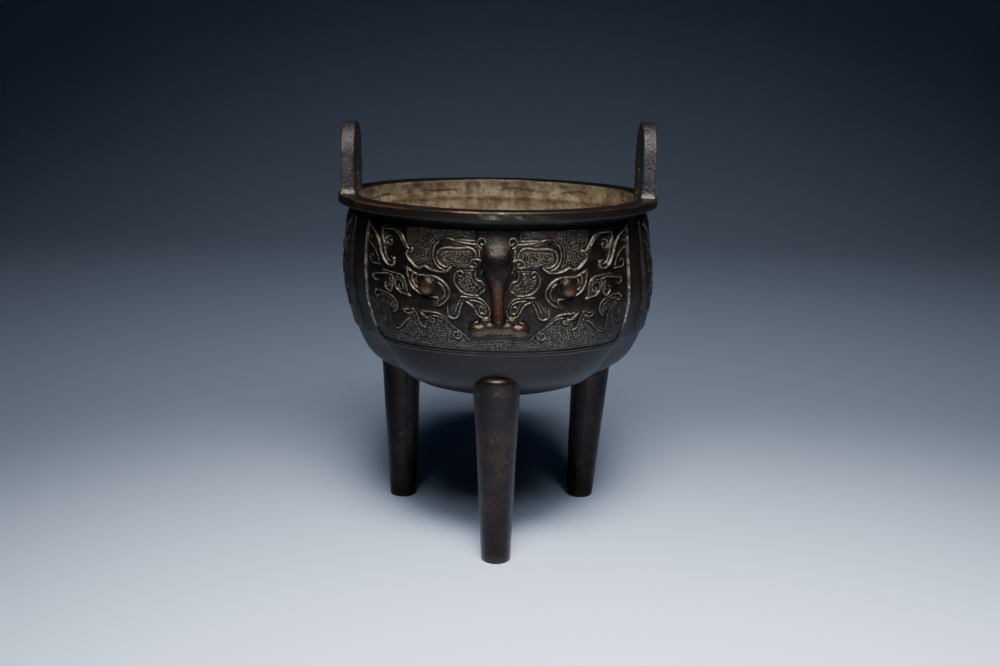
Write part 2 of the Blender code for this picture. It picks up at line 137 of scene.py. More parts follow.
def lumps(points: np.ndarray, size: float, seed: int) -> np.ndarray:
    """Give smooth random lumps between -1 and 1.

    Args:
        points: Places in space, one row each.
        size: The spacing of the lumps, in the units of the places.
        seed: Chooses the lumps.

    Returns:
        One value for each place.
    """
    table = np.random.default_rng(seed).uniform(-1.0, 1.0, (LUMP_CELLS,) * 3)
    cell = points / size + LUMP_ORIGIN
    base = np.floor(cell).astype(int)
    part = cell - base
    part = part * part * (3 - 2 * part)
    total = np.zeros(len(points))
    for corner in itertools.product((0, 1), repeat=3):
        share = np.abs(1 - np.array(corner) - part)
        i, j, k = ((base + corner) % LUMP_CELLS).T
        total += share[:, 0] * share[:, 1] * share[:, 2] * table[i, j, k]
    return total


def uneven(points: np.ndarray, *layers: Layer) -> np.ndarray:
    """Add up layers of lumps, each given by its height, its size and its seed."""
    return sum(height * lumps(points, size, seed) for height, size, seed in layers)


# Mesh helpers

def read_points(thing: bpy.types.Object) -> np.ndarray:
    """Read an object's vertices, one row each.

    Args:
        thing: The object.

    Returns:
        Places.
    """
    flat = np.empty(len(thing.data.vertices) * 3)
    thing.data.vertices.foreach_get("co", flat)
    return flat.reshape(-1, 3)


def write_points(thing: bpy.types.Object, points: np.ndarray) -> None:
    """Write an object's vertices."""
    thing.data.vertices.foreach_set("co", np.ascontiguousarray(points, dtype=float).ravel())
    thing.data.update()


def read_normals(thing: bpy.types.Object) -> np.ndarray:
    """Read an object's vertex normals, one row each.

    Args:
        thing: The object.

    Returns:
        Directions of length 1.
    """
    flat = np.empty(len(thing.data.vertices) * 3, dtype=np.float32)
    thing.data.vertex_normals.foreach_get("vector", flat)
    return flat.reshape(-1, 3).astype(float)


def paint(thing: bpy.types.Object, name: str, values: np.ndarray) -> None:
    """Keep one value between 0 and 1 for each vertex, for the material to read."""
    layer = thing.data.attributes.new(name=name, type="FLOAT", domain="POINT")
    layer.data.foreach_set("value", np.clip(values, 0.0, 1.0).astype(np.float32))


def convexity(thing: bpy.types.Object, rounds: int) -> np.ndarray:
    """Measure how far each vertex stands out of its surroundings.

    Args:
        thing: The object that is measured.
        rounds: How often the measure is spread to the neighbours.

    Returns:
        About -1 in a groove, 0 on flat metal and 1 on an edge.
    """
    points = read_points(thing)
    normals = read_normals(thing)
    ends = np.empty(len(thing.data.edges) * 2, dtype=np.int32)
    thing.data.edges.foreach_get("vertices", ends)
    a, b = ends.reshape(-1, 2).T
    span = points[b] - points[a]
    length = np.linalg.norm(span, axis=1) + 1e-9
    count = np.bincount(a, minlength=len(points)) + np.bincount(b, minlength=len(points))
    fall = np.bincount(a, -np.einsum("ij,ij->i", normals[a], span) / length, len(points))
    fall += np.bincount(b, np.einsum("ij,ij->i", normals[b], span) / length, len(points))
    value = fall / np.maximum(count, 1)
    for _ in range(rounds):
        spread = np.bincount(a, value[b], len(points)) + np.bincount(b, value[a], len(points))
        value = 0.5 * value + 0.5 * spread / np.maximum(count, 1)
    return np.clip(value * 3.0, -1.0, 1.0)


def start_alone() -> None:
    """Leave edit mode and deselect everything before a new piece is begun."""
    if bpy.context.object and bpy.context.object.mode != "OBJECT":
        bpy.ops.object.mode_set(mode="OBJECT")
    bpy.ops.object.select_all(action="DESELECT")


def extrude(move: Sequence[float]) -> None:
    """Extrude what is selected by a move."""
    bpy.ops.mesh.extrude_region_move(TRANSFORM_OT_translate={"value": tuple(float(part) for part in move)})


def finish_edit(merge: float = 0.0, cuts: int = 0) -> None:
    """Close the mesh, point its faces outwards and leave edit mode.

    Args:
        merge: The distance below which vertices are merged, 0 for none.
        cuts: Cuts made in every edge.
    """
    bpy.ops.mesh.select_all(action="SELECT")
    if merge:
        bpy.ops.mesh.remove_doubles(threshold=merge)
    if cuts:
        bpy.ops.mesh.subdivide(number_cuts=cuts)
    bpy.ops.mesh.normals_make_consistent(inside=False)
    bpy.ops.object.mode_set(mode="OBJECT")


def smooth(thing: bpy.types.Object) -> None:
    """Shade a piece smooth."""
    thing.data.polygons.foreach_set("use_smooth", [True] * len(thing.data.polygons))


def turned_piece(name: str, profile: np.ndarray, steps: int) -> bpy.types.Object:
    """Turn a profile about Z into a closed piece.

    Args:
        name: The piece's name.
        profile: Rows of radius and height, from the axis round to the axis.
        steps: Steps of the full turn.

    Returns:
        The new piece.
    """
    start_alone()
    bpy.ops.mesh.primitive_plane_add(size=0.001)
    thing = bpy.context.object
    thing.name = name
    thing.data.name = name
    bpy.ops.object.mode_set(mode="EDIT")
    bpy.ops.mesh.select_all(action="SELECT")
    bpy.ops.mesh.merge(type="CENTER")
    bpy.ops.transform.translate(value=(profile[0][0], 0.0, profile[0][1]))
    for before, after in zip(profile, profile[1:]):
        extrude((after[0] - before[0], 0.0, after[1] - before[1]))
    bpy.ops.mesh.select_all(action="SELECT")
    bpy.ops.mesh.spin(steps=steps, angle=2 * math.pi, center=(0, 0, 0), axis=(0, 0, 1), use_auto_merge=True)
    finish_edit(MERGE)
    return thing


def settle(thing: bpy.types.Object, *finishes: bpy.types.Material) -> bpy.types.Object:
    """Smooth a finished piece, give it its materials and tie it to the frame.

    Args:
        thing: The finished piece, in its place.
        finishes: Its materials, in the order of its slots.

    Returns:
        The same piece.
    """
    smooth(thing)
    for finish in finishes:
        thing.data.materials.append(finish)
    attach(thing, BODY)
    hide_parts(NODE)
    thing.data.calc_loop_triangles()
    LOG.info("%s: %d triangles", thing.name, len(thing.data.loop_triangles))
    return thing


# Shader helpers and effects

class NodeSheet:
    """Adds and links the nodes of one material or group."""

    def __init__(self, tree: bpy.types.NodeTree) -> None:
        """Take the tree that the nodes go into."""
        self.tree = tree

    def add(self, kind: str, **settings: object) -> bpy.types.Node:
        """Add a node.

        Args:
            kind: Blender's name of the node's type.
            settings: The node's own settings, and inputs given as in_0, in_1 and so on.

        Returns:
            The new node.
        """
        node = self.tree.nodes.new(kind)
        for name, value in settings.items():
            if name.startswith("in_"):
                self.feed(node.inputs[int(name[3:])], value)
            else:
                setattr(node, name, value)
        return node

    def feed(self, socket: bpy.types.NodeSocket, value: object) -> None:
        """Link a socket or set its value.

        Args:
            socket: The input.
            value: Another node's output, a colour or a number.
        """
        if isinstance(value, bpy.types.NodeSocket):
            self.tree.links.new(value, socket)
        elif isinstance(value, tuple) and len(value) == 3 and socket.type == "RGBA":
            socket.default_value = (*value, 1.0)
        else:
            socket.default_value = value

    def feed_all(self, node: bpy.types.Node, values: dict[str, object]) -> None:
        """Link or set several sockets of a node, by name."""
        for label, value in values.items():
            self.feed(node.inputs[label], value)

    def group(self, tree: bpy.types.NodeTree, values: dict[str, object]) -> bpy.types.Node:
        """Place a shared group.

        Args:
            tree: The group.
            values: What goes into its sockets, by name.

        Returns:
            The group's node.
        """
        node = self.add("ShaderNodeGroup", node_tree=tree)
        self.feed_all(node, values)
        return node

    def maths(self, operation: str, first: object, second: object = 0.0) -> bpy.types.NodeSocket:
        """Combine two values."""
        return self.add("ShaderNodeMath", operation=operation, in_0=first, in_1=second).outputs[0]

    def times(self, first: object, second: object) -> bpy.types.NodeSocket:
        """Multiply two values."""
        return self.maths("MULTIPLY", first, second)

    def plus(self, first: object, second: object) -> bpy.types.NodeSocket:
        """Add two values."""
        return self.maths("ADD", first, second)

    def blend(self, share: object, first: object, second: object) -> bpy.types.NodeSocket:
        """Mix two colours."""
        return self.add("ShaderNodeMix", data_type="RGBA", in_0=share, in_6=first, in_7=second).outputs[2]

    def merge(self, share: object, first: object, second: object) -> bpy.types.NodeSocket:
        """Mix two values."""
        return self.add("ShaderNodeMix", data_type="FLOAT", in_0=share, in_2=first, in_3=second).outputs[0]

    def step(self, value: object, low: object, high: object) -> bpy.types.NodeSocket:
        """Turn a value into 0 below low and 1 above high."""
        return self.add("ShaderNodeMapRange", interpolation_type="SMOOTHSTEP",
                        in_0=value, in_1=low, in_2=high).outputs[0]

    def noise(self, vector: object, scale: object, detail: float,
              rough: float = 0.5) -> bpy.types.NodeSocket:
        """Add a cloudy pattern.

        Args:
            vector: The place.
            scale: How many clouds there are to the metre.
            detail: How many finer layers it has.
            rough: How strong the finer layers are.

        Returns:
            The pattern's value.
        """
        node = self.add("ShaderNodeTexNoise", in_0=vector)
        self.feed_all(node, {"Scale": scale, "Detail": detail, "Roughness": rough})
        return node.outputs[0]

    def relief(self, height: object, depth: float) -> bpy.types.NodeSocket:
        """Bend the normals by a height.

        Args:
            height: The height, 0 to 1.
            depth: How much 1 is, in metres.

        Returns:
            The normals.
        """
        node = self.add("ShaderNodeBump")
        self.feed_all(node, {"Distance": depth, "Height": height})
        return node.outputs["Normal"]

    def place(self) -> bpy.types.NodeSocket:
        """Give the place on the object."""
        return self.add("ShaderNodeTexCoord").outputs["Object"]

    def painted(self, name: str) -> bpy.types.NodeSocket:
        """Read a value kept on the piece."""
        return self.add("ShaderNodeAttribute", attribute_name=name).outputs["Fac"]


def new_material(name: str) -> tuple[bpy.types.Material, NodeSheet, bpy.types.Node]:
    """Begin a material.

    Args:
        name: The material's name.

    Returns:
        The material, the sheet to add nodes to and its shader.
    """
    material = bpy.data.materials.new(name)
    material.use_nodes = True
    return material, NodeSheet(material.node_tree), material.node_tree.nodes["Principled BSDF"]


def new_group(name: str, inputs: dict[str, object],
              outputs: Sequence[str]) -> tuple[NodeSheet, dict, bpy.types.Node]:
    """Begin a shader node group with named sockets.

    Args:
        name: The group's name.
        inputs: Default values by socket name, a tuple for a colour and a number for a value.
        outputs: The names of what it puts out, of which Color is a colour.

    Returns:
        The sheet to add nodes to, the inputs' sockets by name and the output node.
    """
    tree = bpy.data.node_groups.new(name, "ShaderNodeTree")
    for label, value in inputs.items():
        kind = "NodeSocketColor" if isinstance(value, tuple) else "NodeSocketFloat"
        socket = tree.interface.new_socket(name=label, in_out="INPUT", socket_type=kind)
        socket.default_value = (*value, 1.0) if isinstance(value, tuple) else value
    for label in outputs:
        kind = "NodeSocketColor" if label == "Color" else "NodeSocketFloat"
        tree.interface.new_socket(name=label, in_out="OUTPUT", socket_type=kind)
    sheet = NodeSheet(tree)
    start = sheet.add("NodeGroupInput")
    return sheet, {label: start.outputs[label] for label in inputs}, sheet.add("NodeGroupOutput")


class Effects:
    """The surface effects that several finishes share."""

    def __init__(self) -> None:
        """Build each effect once."""
        self.mottle = self.patina_mottle()
        self.wear = self.worn_edge()
        self.deposit = self.pale_deposit_and_highlight()
        self.copper = self.copper_rub()
        self.grain = self.cast_grain()

    def patina_mottle(self) -> bpy.types.NodeTree:
        """Build the cloudy dark, brown and red patina.

        Returns:
            The group.
        """
        sheet, given, out = new_group(
            "PatinaMottle",
            {"Dark": (0.02, 0.015, 0.01), "Brown": (0.06, 0.04, 0.02), "Red": (0.15, 0.06, 0.03),
             "Brown Share": 0.5, "Red Share": 0.3, "Scale": 60.0},
            ("Color", "Cloud"))
        place = sheet.place()
        wide = sheet.noise(place, given["Scale"], 4.0, 0.6)
        fine = sheet.noise(place, sheet.times(given["Scale"], 4.3), 5.0, 0.65)
        specks = sheet.noise(place, sheet.times(given["Scale"], 15.0), 3.0, 0.6)
        cloud = sheet.plus(sheet.times(wide, 0.62), sheet.times(fine, 0.38))
        brown_from = sheet.maths("SUBTRACT", 0.72, sheet.times(given["Brown Share"], 0.45))
        brown = sheet.step(cloud, brown_from, sheet.plus(brown_from, 0.16))
        red_mix = sheet.plus(sheet.times(fine, 0.6), sheet.times(specks, 0.4))
        red_from = sheet.maths("SUBTRACT", 0.74, sheet.times(given["Red Share"], 0.4))
        red = sheet.step(red_mix, red_from, sheet.plus(red_from, 0.12))
        colour = sheet.blend(brown, given["Dark"], given["Brown"])
        colour = sheet.blend(sheet.times(red, sheet.plus(0.35, brown)), colour, given["Red"])
        sheet.feed_all(out, {"Color": colour, "Cloud": cloud})
        return sheet.tree

    def worn_edge(self) -> bpy.types.NodeTree:
        """Build the rubbed edges, from the wear kept on a piece.

        Returns:
            The group.
        """
        sheet, given, out = new_group(
            "WornEdge",
            {"Color": (0.02, 0.015, 0.01), "Worn": (0.2, 0.14, 0.1), "Amount": 0.6, "Roughness": 0.4,
             "Rubbed Roughness": 0.28},
            ("Color", "Roughness"))
        break_up = sheet.noise(sheet.place(), 420.0, 4.0, 0.6)
        mask = sheet.times(sheet.painted("wear"), sheet.plus(0.45, break_up))
        mask = sheet.times(sheet.step(mask, 0.10, 0.85), given["Amount"])
        sheet.feed_all(out, {
            "Color": sheet.blend(mask, given["Color"], given["Worn"]),
            "Roughness": sheet.merge(mask, given["Roughness"], given["Rubbed Roughness"])})
        return sheet.tree

    def pale_deposit_and_highlight(self) -> bpy.types.NodeTree:
        """Build the pale grey-beige crust from the values kept on a piece, partly a painted highlight on
        relief crests.

        Returns:
            The group.
        """
        sheet, given, out = new_group(
            "PaleDepositAndHighlight",
            {"Color": (0.02, 0.015, 0.01), "Crust": (0.3, 0.3, 0.25), "Amount": 0.6, "Roughness": 0.4,
             "Crust Roughness": 0.48},
            ("Color", "Roughness", "Bare"))
        crust = sheet.painted("deposit")
        break_up = sheet.step(sheet.noise(sheet.place(), 900.0, 4.0, 0.7), 0.38, 0.62)
        mask = sheet.times(crust, sheet.plus(0.16, sheet.times(break_up, 1.2)))
        mask = sheet.maths("MINIMUM", sheet.times(mask, given["Amount"]), 1.0)
        sheet.feed_all(out, {
            "Color": sheet.blend(mask, given["Color"], given["Crust"]),
            "Roughness": sheet.merge(mask, given["Roughness"], given["Crust Roughness"]),
            "Bare": sheet.maths("SUBTRACT", 1.0, sheet.times(mask, 0.8))})
        return sheet.tree

    def copper_rub(self) -> bpy.types.NodeTree:
        """Build the orange-brown rubbed spots, from the warmth kept on a piece.

        Returns:
            The group.
        """
        sheet, given, out = new_group(
            "CopperRub",
            {"Color": (0.02, 0.015, 0.01), "Copper": (0.25, 0.1, 0.04), "Amount": 0.8},
            ("Color",))
        break_up = sheet.noise(sheet.place(), 330.0, 4.0, 0.6)
        mask = sheet.times(sheet.painted("warm"), sheet.plus(0.5, break_up))
        mask = sheet.times(sheet.step(mask, 0.15, 0.9), given["Amount"])
        sheet.feed_all(out, {"Color": sheet.blend(mask, given["Color"], given["Copper"])})
        return sheet.tree

    def cast_grain(self) -> bpy.types.NodeTree:
        """Build the fine pits and pores of cast metal, as a height.

        Returns:
            The group.
        """
        sheet, given, out = new_group("CastGrain", {"Scale": 1.0, "Pits": 0.5}, ("Height",))
        place = sheet.place()
        grain = sheet.noise(place, sheet.times(given["Scale"], 1500.0), 4.0, 0.6)
        swell = sheet.noise(place, sheet.times(given["Scale"], 300.0), 3.0, 0.5)
        pore = sheet.add("ShaderNodeTexVoronoi", in_0=place)
        sheet.feed(pore.inputs["Scale"], sheet.times(given["Scale"], 520.0))
        hole = sheet.maths("SUBTRACT", 1.0, sheet.step(pore.outputs["Distance"], 0.05, 0.22))
        picked = sheet.step(sheet.noise(place, 230.0, 2.0), 0.52, 0.62)
        sunk = sheet.times(sheet.times(hole, picked), given["Pits"])
        height = sheet.plus(sheet.times(grain, 0.7), sheet.times(swell, 0.5))
        sheet.feed_all(out, {"Height": sheet.maths("SUBTRACT", height, sunk)})
        return sheet.tree


@dataclass(frozen=True)
class BronzeFinish:
    """Patinated bronze, with its mottling, rubbed edges and pale crust, the crust partly a painted highlight
    on relief crests.
    """

    name: str
    dark: Colour = (0.014, 0.0105, 0.0085)
    brown: Colour = (0.048, 0.030, 0.018)
    red: Colour = (0.110, 0.046, 0.022)
    worn: Colour = (0.17, 0.118, 0.080)
    # Colour of the pale crust, partly a painted highlight where it lies on relief crests
    crust: Colour = (0.36, 0.325, 0.235)
    copper: Colour = (0.20, 0.072, 0.026)
    brown_share: float = 0.5
    red_share: float = 0.35
    scale: float = 60.0
    wear: float = 0.6
    deposit: float = 0.7
    roughness: float = 0.36
    metallic: float = 0.6
    gloss: float = 0.3
    cloudy: float = 0.22
    polish: float = 0.8
    bright: float = 0.9
    grain: float = 0.00006
    grain_scale: float = 1.0
    pits: float = 0.4

    def make(self, effects: Effects) -> bpy.types.Material:
        """Build the material.

        Args:
            effects: The shared effects.

        Returns:
            The material.
        """
        material, sheet, shader = new_material(self.name)
        mottle = sheet.group(effects.mottle, {
            "Dark": self.dark, "Brown": self.brown, "Red": self.red,
            "Brown Share": self.brown_share, "Red Share": self.red_share, "Scale": self.scale})
        cloudy = sheet.times(mottle.outputs["Cloud"], self.cloudy)
        cloudy = sheet.plus(self.roughness - self.cloudy / 2, cloudy)
        rubbed = sheet.group(effects.wear, {
            "Color": mottle.outputs["Color"], "Worn": self.worn, "Amount": self.wear,
            "Roughness": cloudy, "Rubbed Roughness": self.roughness * self.polish})
        coppered = sheet.group(effects.copper, {"Color": rubbed.outputs["Color"], "Copper": self.copper})
        dusty = sheet.group(effects.deposit, {
            "Color": coppered.outputs["Color"], "Crust": self.crust, "Amount": self.deposit,
            "Roughness": rubbed.outputs["Roughness"]})
        grain = sheet.group(effects.grain, {"Pits": self.pits, "Scale": self.grain_scale})
        bright = sheet.times(sheet.painted("wear"), self.bright - self.metallic)
        metal = sheet.times(dusty.outputs["Bare"], sheet.plus(bright, self.metallic))
        sheet.feed_all(shader, {
            "Base Color": dusty.outputs["Color"], "Roughness": dusty.outputs["Roughness"],
            "Metallic": sheet.maths("MINIMUM", metal, 1.0), "Specular IOR Level": self.gloss,
            "Normal": sheet.relief(grain.outputs["Height"], self.grain)})
        return material


@dataclass(frozen=True)
class AshFinish:
    """The bowl's inside, bronze under old beige ash and soot."""

    name: str
    ash: Colour = (0.47, 0.38, 0.250)
    stain: Colour = (0.24, 0.170, 0.108)
    soot: Colour = (0.070, 0.046, 0.031)
    stain_share: float = 0.66
    soot_share: float = 0.40
    scale: float = 120.0
    roughness: float = 0.68
    metallic: float = 0.25
    grain: float = 0.0004
    grain_scale: float = 0.55

    def make(self, effects: Effects) -> bpy.types.Material:
        """Build the material.

        Args:
            effects: The shared effects.

        Returns:
            The material.
        """
        material, sheet, shader = new_material(self.name)
        mottle = sheet.group(effects.mottle, {
            "Dark": self.ash, "Brown": self.stain, "Red": self.soot,
            "Brown Share": self.stain_share, "Red Share": self.soot_share, "Scale": self.scale})
        grain = sheet.group(effects.grain, {"Scale": self.grain_scale})
        sheet.feed_all(shader, {
            "Base Color": sheet.blend(sheet.painted("wear"), mottle.outputs["Color"], self.soot),
            "Normal": sheet.relief(grain.outputs["Height"], self.grain),
            "Roughness": self.roughness, "Metallic": self.metallic})
        return material


@dataclass(frozen=True)
class FloorFinish:
    """Plain pale studio floor."""

    name: str
    colour: Colour = (0.418, 0.495, 0.643)
    roughness: float = 0.8

    def make(self) -> bpy.types.Material:
        """Build the material.

        Returns:
            The material.
        """
        material, sheet, shader = new_material(self.name)
        sheet.feed_all(shader, {
            "Base Color": self.colour, "Roughness": self.roughness, "Specular IOR Level": 0.0})
        return material


# The bowl

@dataclass(frozen=True)
class BowlShape:
    """The bowl's outer form: its meridian, its three lobes and the drift of the casting."""

    rim_radius: float = 0.0850
    rim_height: float = 0.1839
    lip_thickness: float = 0.0045
    wall: float = 0.0038
    stations: tuple[Point, ...] = ((0.0783, 0.1778), (0.0806, 0.1615), (0.0822, 0.1369), (0.0784, 0.1139),
                                   (0.0700, 0.0961), (0.0446, 0.0837), (0.0, 0.0750))
    under_curve: float = 1.7
    crease: tuple[Point, ...] = ((0.0837, 0.210), (0.0961, 0.200), (0.1139, 0.060), (0.1369, 0.015),
                                 (0.1778, 0.0))
    sharpness: float = 5.0
    drift: float = 0.0019
    side_steps: int = 24

    @property
    def neck_radius(self) -> float:
        """Outer radius of the neck."""
        return self.stations[0][0]

    @property
    def belly_radius(self) -> float:
        """Outer radius of the belly."""
        return self.stations[2][0]

    @property
    def lip_foot(self) -> float:
        """Height of the lip's lower face."""
        return self.rim_height - self.lip_thickness

    def under(self, radius: np.ndarray) -> np.ndarray:
        """Give the height of the outer underside at each radius.

        Args:
            radius: Distances from the axis.

        Returns:
            Heights.
        """
        reach, height = self.stations[-2]
        bottom = self.stations[-1][1]
        return bottom + (height - bottom) * np.clip(radius / reach, 0.0, 1.0) ** self.under_curve

    def meridian(self, steps: int) -> np.ndarray:
        """Draw the outer profile under a lobe's middle, from the neck down to the axis.

        Args:
            steps: Steps between two stations.

        Returns:
            Rows of radius and height.
        """
        radius, height = spline(self.stations, steps).T
        reach, bottom = self.stations[-2][0], self.stations[-1][1]
        height = np.where(radius < reach, self.under(radius), np.maximum(height, bottom))
        return np.stack((np.maximum(radius, 0.0), height), axis=1)

    def side_radius(self, height: np.ndarray) -> np.ndarray:
        """Give the outer radius under a lobe's middle at each height.

        Args:
            height: Heights.

        Returns:
            Distances from the axis.
        """
        rows = self.meridian(self.side_steps)
        rows = rows[np.argsort(rows[:, 1])]
        return np.interp(height, rows[:, 1], rows[:, 0])

    def lobe_factor(self, angle: np.ndarray, height: np.ndarray) -> np.ndarray:
        """Give the radius at an angle from the front lobe, as a share of that in a lobe's middle."""
        depth = np.interp(height, *zip(*self.crease))
        return 1.0 - depth * (off_middle(angle) / HALF_LOBE) ** self.sharpness

    def sway(self, height: np.ndarray) -> np.ndarray:
        """Give the sideways drift at each height."""
        top, foot = self.stations[1][1], self.stations[3][1]
        return self.drift * ramp(top - height, 0.0, top - foot)

    def on_bowl(self, angle: np.ndarray, height: np.ndarray, lift: np.ndarray) -> np.ndarray:
        """Place points over the outer face.

        Args:
            angle: Angles from the front lobe.
            height: Heights.
            lift: Distances outwards.

        Returns:
            Places, one row each.
        """
        r = self.side_radius(height) * self.lobe_factor(angle, height) + lift
        return np.stack((r * np.sin(angle) + self.sway(height), -r * np.cos(angle), height), axis=-1)


@dataclass
class Bowl:
    """The hollow bowl with its lip, one closed shell."""

    shape: BowlShape
    steps: int = 288
    neck_fillet: float = 0.0016
    lip_round: float = 0.0009
    lip_under_round: float = 0.0007
    seam_drop: float = 0.0066
    seam_depth: float = 0.00028
    cast: tuple[Layer, ...] = ((0.00016, 0.019, 3), (0.00007, 0.005, 4))
    cast_inside: tuple[Layer, ...] = ((0.00035, 0.012, 5), (0.00018, 0.004, 6))
    cast_lip: tuple[Layer, ...] = ((0.00005, 0.007, 7), (0.00010, 0.03, 8))
    lip_waves: Layer = (0.00010, 0.022, 9)
    cast_radius: float = 0.08

    def profile(self) -> np.ndarray:
        """Draw the full section, from the axis outside round the rim to the axis inside.

        Returns:
            Rows of radius and height.
        """
        s = self.shape
        neck, edge, top, foot = s.neck_radius, s.rim_radius, s.rim_height, s.lip_foot
        inner = neck - s.wall
        fillet, under, over = self.neck_fillet, self.lip_under_round, self.lip_round
        rows = arc((neck + fillet, foot - fillet), (-fillet, fillet), (20, 40, 60, 78, 90))
        rows += [(edge - 0.0025, foot), (edge - 0.0010, foot)]
        rows += arc((edge - under, foot + under), (under, under), (-70, -40, -10))
        rows += [(edge, foot + 0.0012), (edge + 0.00005, foot + 0.0022), (edge, foot + 0.0034)]
        rows += arc((edge - over, top - over), (over, over), (15, 40, 65, 90))
        rows += [(r, top) for r in np.linspace(edge - 0.0016, inner + 0.0016, 7)]
        rows += arc((inner + over, top - over), (over, over), (105, 135, 165))
        return np.vstack((s.meridian(16)[::-1], rows, self.inner_line()))

    def inner_line(self) -> np.ndarray:
        """Draw the inside, the outer profile moved in by the wall.

        Returns:
            Rows of radius and height, from the rim down to the axis.
        """
        s = self.shape
        rows = s.meridian(9)
        along = rows[2:] - rows[:-2]
        along /= np.linalg.norm(along, axis=1)[:, None]
        moved = rows[1:-1] + np.stack((along[:, 1], -along[:, 0]), axis=1) * s.wall
        moved = moved[(moved[:, 0] > 0.002) & (moved[:, 1] < s.rim_height - 0.004)]
        top = np.array([(s.neck_radius - s.wall, s.rim_height - 0.0024 - 0.0006 * i) for i in range(15)])
        moved = moved[moved[:, 1] < top[-1, 1] - 0.0006]
        return np.vstack((top, moved, ((0.0, s.stations[-1][1] + s.wall),)))

    def build(self, metal: bpy.types.Material, ash: bpy.types.Material) -> bpy.types.Object:
        """Model the bowl.

        Args:
            metal: The finish of the outside.
            ash: The finish of the inside.

        Returns:
            The bowl.
        """
        s = self.shape
        thing = turned_piece("bowl", self.profile(), self.steps)
        points = read_points(thing)
        radius = np.hypot(points[:, 0], points[:, 1])
        height = points[:, 2].copy()
        angle = np.arctan2(points[:, 0], -points[:, 1])
        inner = self.is_inside(radius, height)
        waver = 0.00025 * np.sin(angle * 5 + 1) + 0.0002 * np.sin(angle * 13)
        seam = bump(height, s.rim_height - self.seam_drop + waver, 0.0006) * ~inner
        seam = seam * (radius > s.neck_radius - 0.0015)
        ring = self.cast_radius
        polar = np.stack((np.sin(angle) * ring, np.cos(angle) * ring, height), axis=1)
        push = uneven(polar, *self.cast) - self.seam_depth * seam + inner * uneven(polar, *self.cast_inside)
        on_lip = (radius > s.neck_radius + 0.001) & (height > s.lip_foot - 0.0005)
        push = np.where(on_lip, uneven(polar, *self.cast_lip), push) * ramp(radius, 0.0, 0.012)
        outward = np.stack((np.sin(angle), -np.cos(angle)), axis=1)
        points[:, :2] = outward * (radius * s.lobe_factor(angle, height) + push)[:, None]
        points[:, 0] += s.sway(height)
        points[:, 2] += on_lip * uneven(polar, self.lip_waves)
        write_points(thing, points)
        self.dress(thing, radius, height, angle, inner)
        return settle(thing, metal, ash)

    def is_inside(self, radius: np.ndarray, height: np.ndarray) -> np.ndarray:
        """Tell the vertices of the hollow from the others, on the turned form.

        Args:
            radius: Each vertex's radius.
            height: Each vertex's height.

        Returns:
            True for each vertex in the hollow.
        """
        s = self.shape
        deep = (radius < s.side_radius(height) - 0.5 * s.wall) & (height > s.under(radius) + 0.5 * s.wall)
        open_top = (height < s.lip_foot) | (radius < s.neck_radius - s.wall + 0.0004)
        return deep & open_top & (height < s.rim_height - 0.0006)

    def dress(self, thing: bpy.types.Object, radius: np.ndarray, height: np.ndarray, angle: np.ndarray,
              inner: np.ndarray) -> None:
        """Keep the wear, the pale crust (partly a painted highlight in the lobe creases) and the warmth on
        the bowl, and give the hollow its own slot.

        Args:
            thing: The bowl.
            radius: Each vertex's radius on the turned form.
            height: Each vertex's height.
            angle: Each vertex's angle.
            inner: Which vertices lie in the hollow.
        """
        s = self.shape
        place = np.stack((radius * np.sin(angle), radius * np.cos(angle), height), axis=1)
        patch = lumps(place, 0.011, 21)
        fleck = lumps(place, 0.0028, 22)
        rim_edge = bump(radius, s.rim_radius, 0.0006) * (height > s.lip_foot)
        inner_edge = bump(radius, s.neck_radius - s.wall, 0.0010) * (height > s.rim_height - 0.0016)
        top = (height > s.rim_height - 0.0004) & (radius > s.neck_radius - s.wall)
        crest = rim_edge * ramp(height, s.rim_height - 0.0014, s.rim_height - 0.0005)
        worn = 0.05 * rim_edge + 0.26 * crest + 0.45 * inner_edge + 0.10 * top
        worn += 0.35 * convexity(thing, 2) * ~inner
        crack_height = s.rim_height - 0.0062 + 0.0012 * lumps(place, 0.013, 23) + 0.0004 * fleck
        crack = bump(height, crack_height, 0.0005) * ramp(lumps(place, 0.009, 24), -0.35, 0.1)
        soot = 0.50 * ramp(patch + 0.6 * fleck, -0.1, 0.9) + crack
        soot += 0.50 * bump(height, s.rim_height - 0.002, 0.0034)
        paint(thing, "wear", np.where(inner, soot, worn * (0.75 + 0.4 * patch)))
        # Pale along the lobe creases: partly dust, partly a painted highlight of the crease
        crease = ramp(off_middle(angle), 0.86 * HALF_LOBE, HALF_LOBE) * (height < 0.15)
        neck = bump(height, s.rim_height - self.seam_drop, 0.0018) * (radius > s.neck_radius - 0.0012)
        scratch = self.rim_scratches(radius, height, angle)
        paint(thing, "deposit", ~inner * (0.06 * crease + 0.10 * neck) * (0.6 + 0.6 * fleck) + scratch)
        warm = 0.10 * rim_edge * ramp(patch, -0.4, 0.6) + 0.50 * crest * ramp(patch, -0.7, 0.3)
        paint(thing, "warm", ~inner * (warm + 0.15 * top * ramp(fleck, 0.0, 0.8)))
        corners = np.empty(len(thing.data.loops), dtype=np.int32)
        thing.data.loops.foreach_get("vertex_index", corners)
        starts = np.empty(len(thing.data.polygons), dtype=np.int32)
        thing.data.polygons.foreach_get("loop_start", starts)
        slots = np.minimum.reduceat(inner[corners].astype(np.int32), starts)
        thing.data.polygons.foreach_set("material_index", slots)

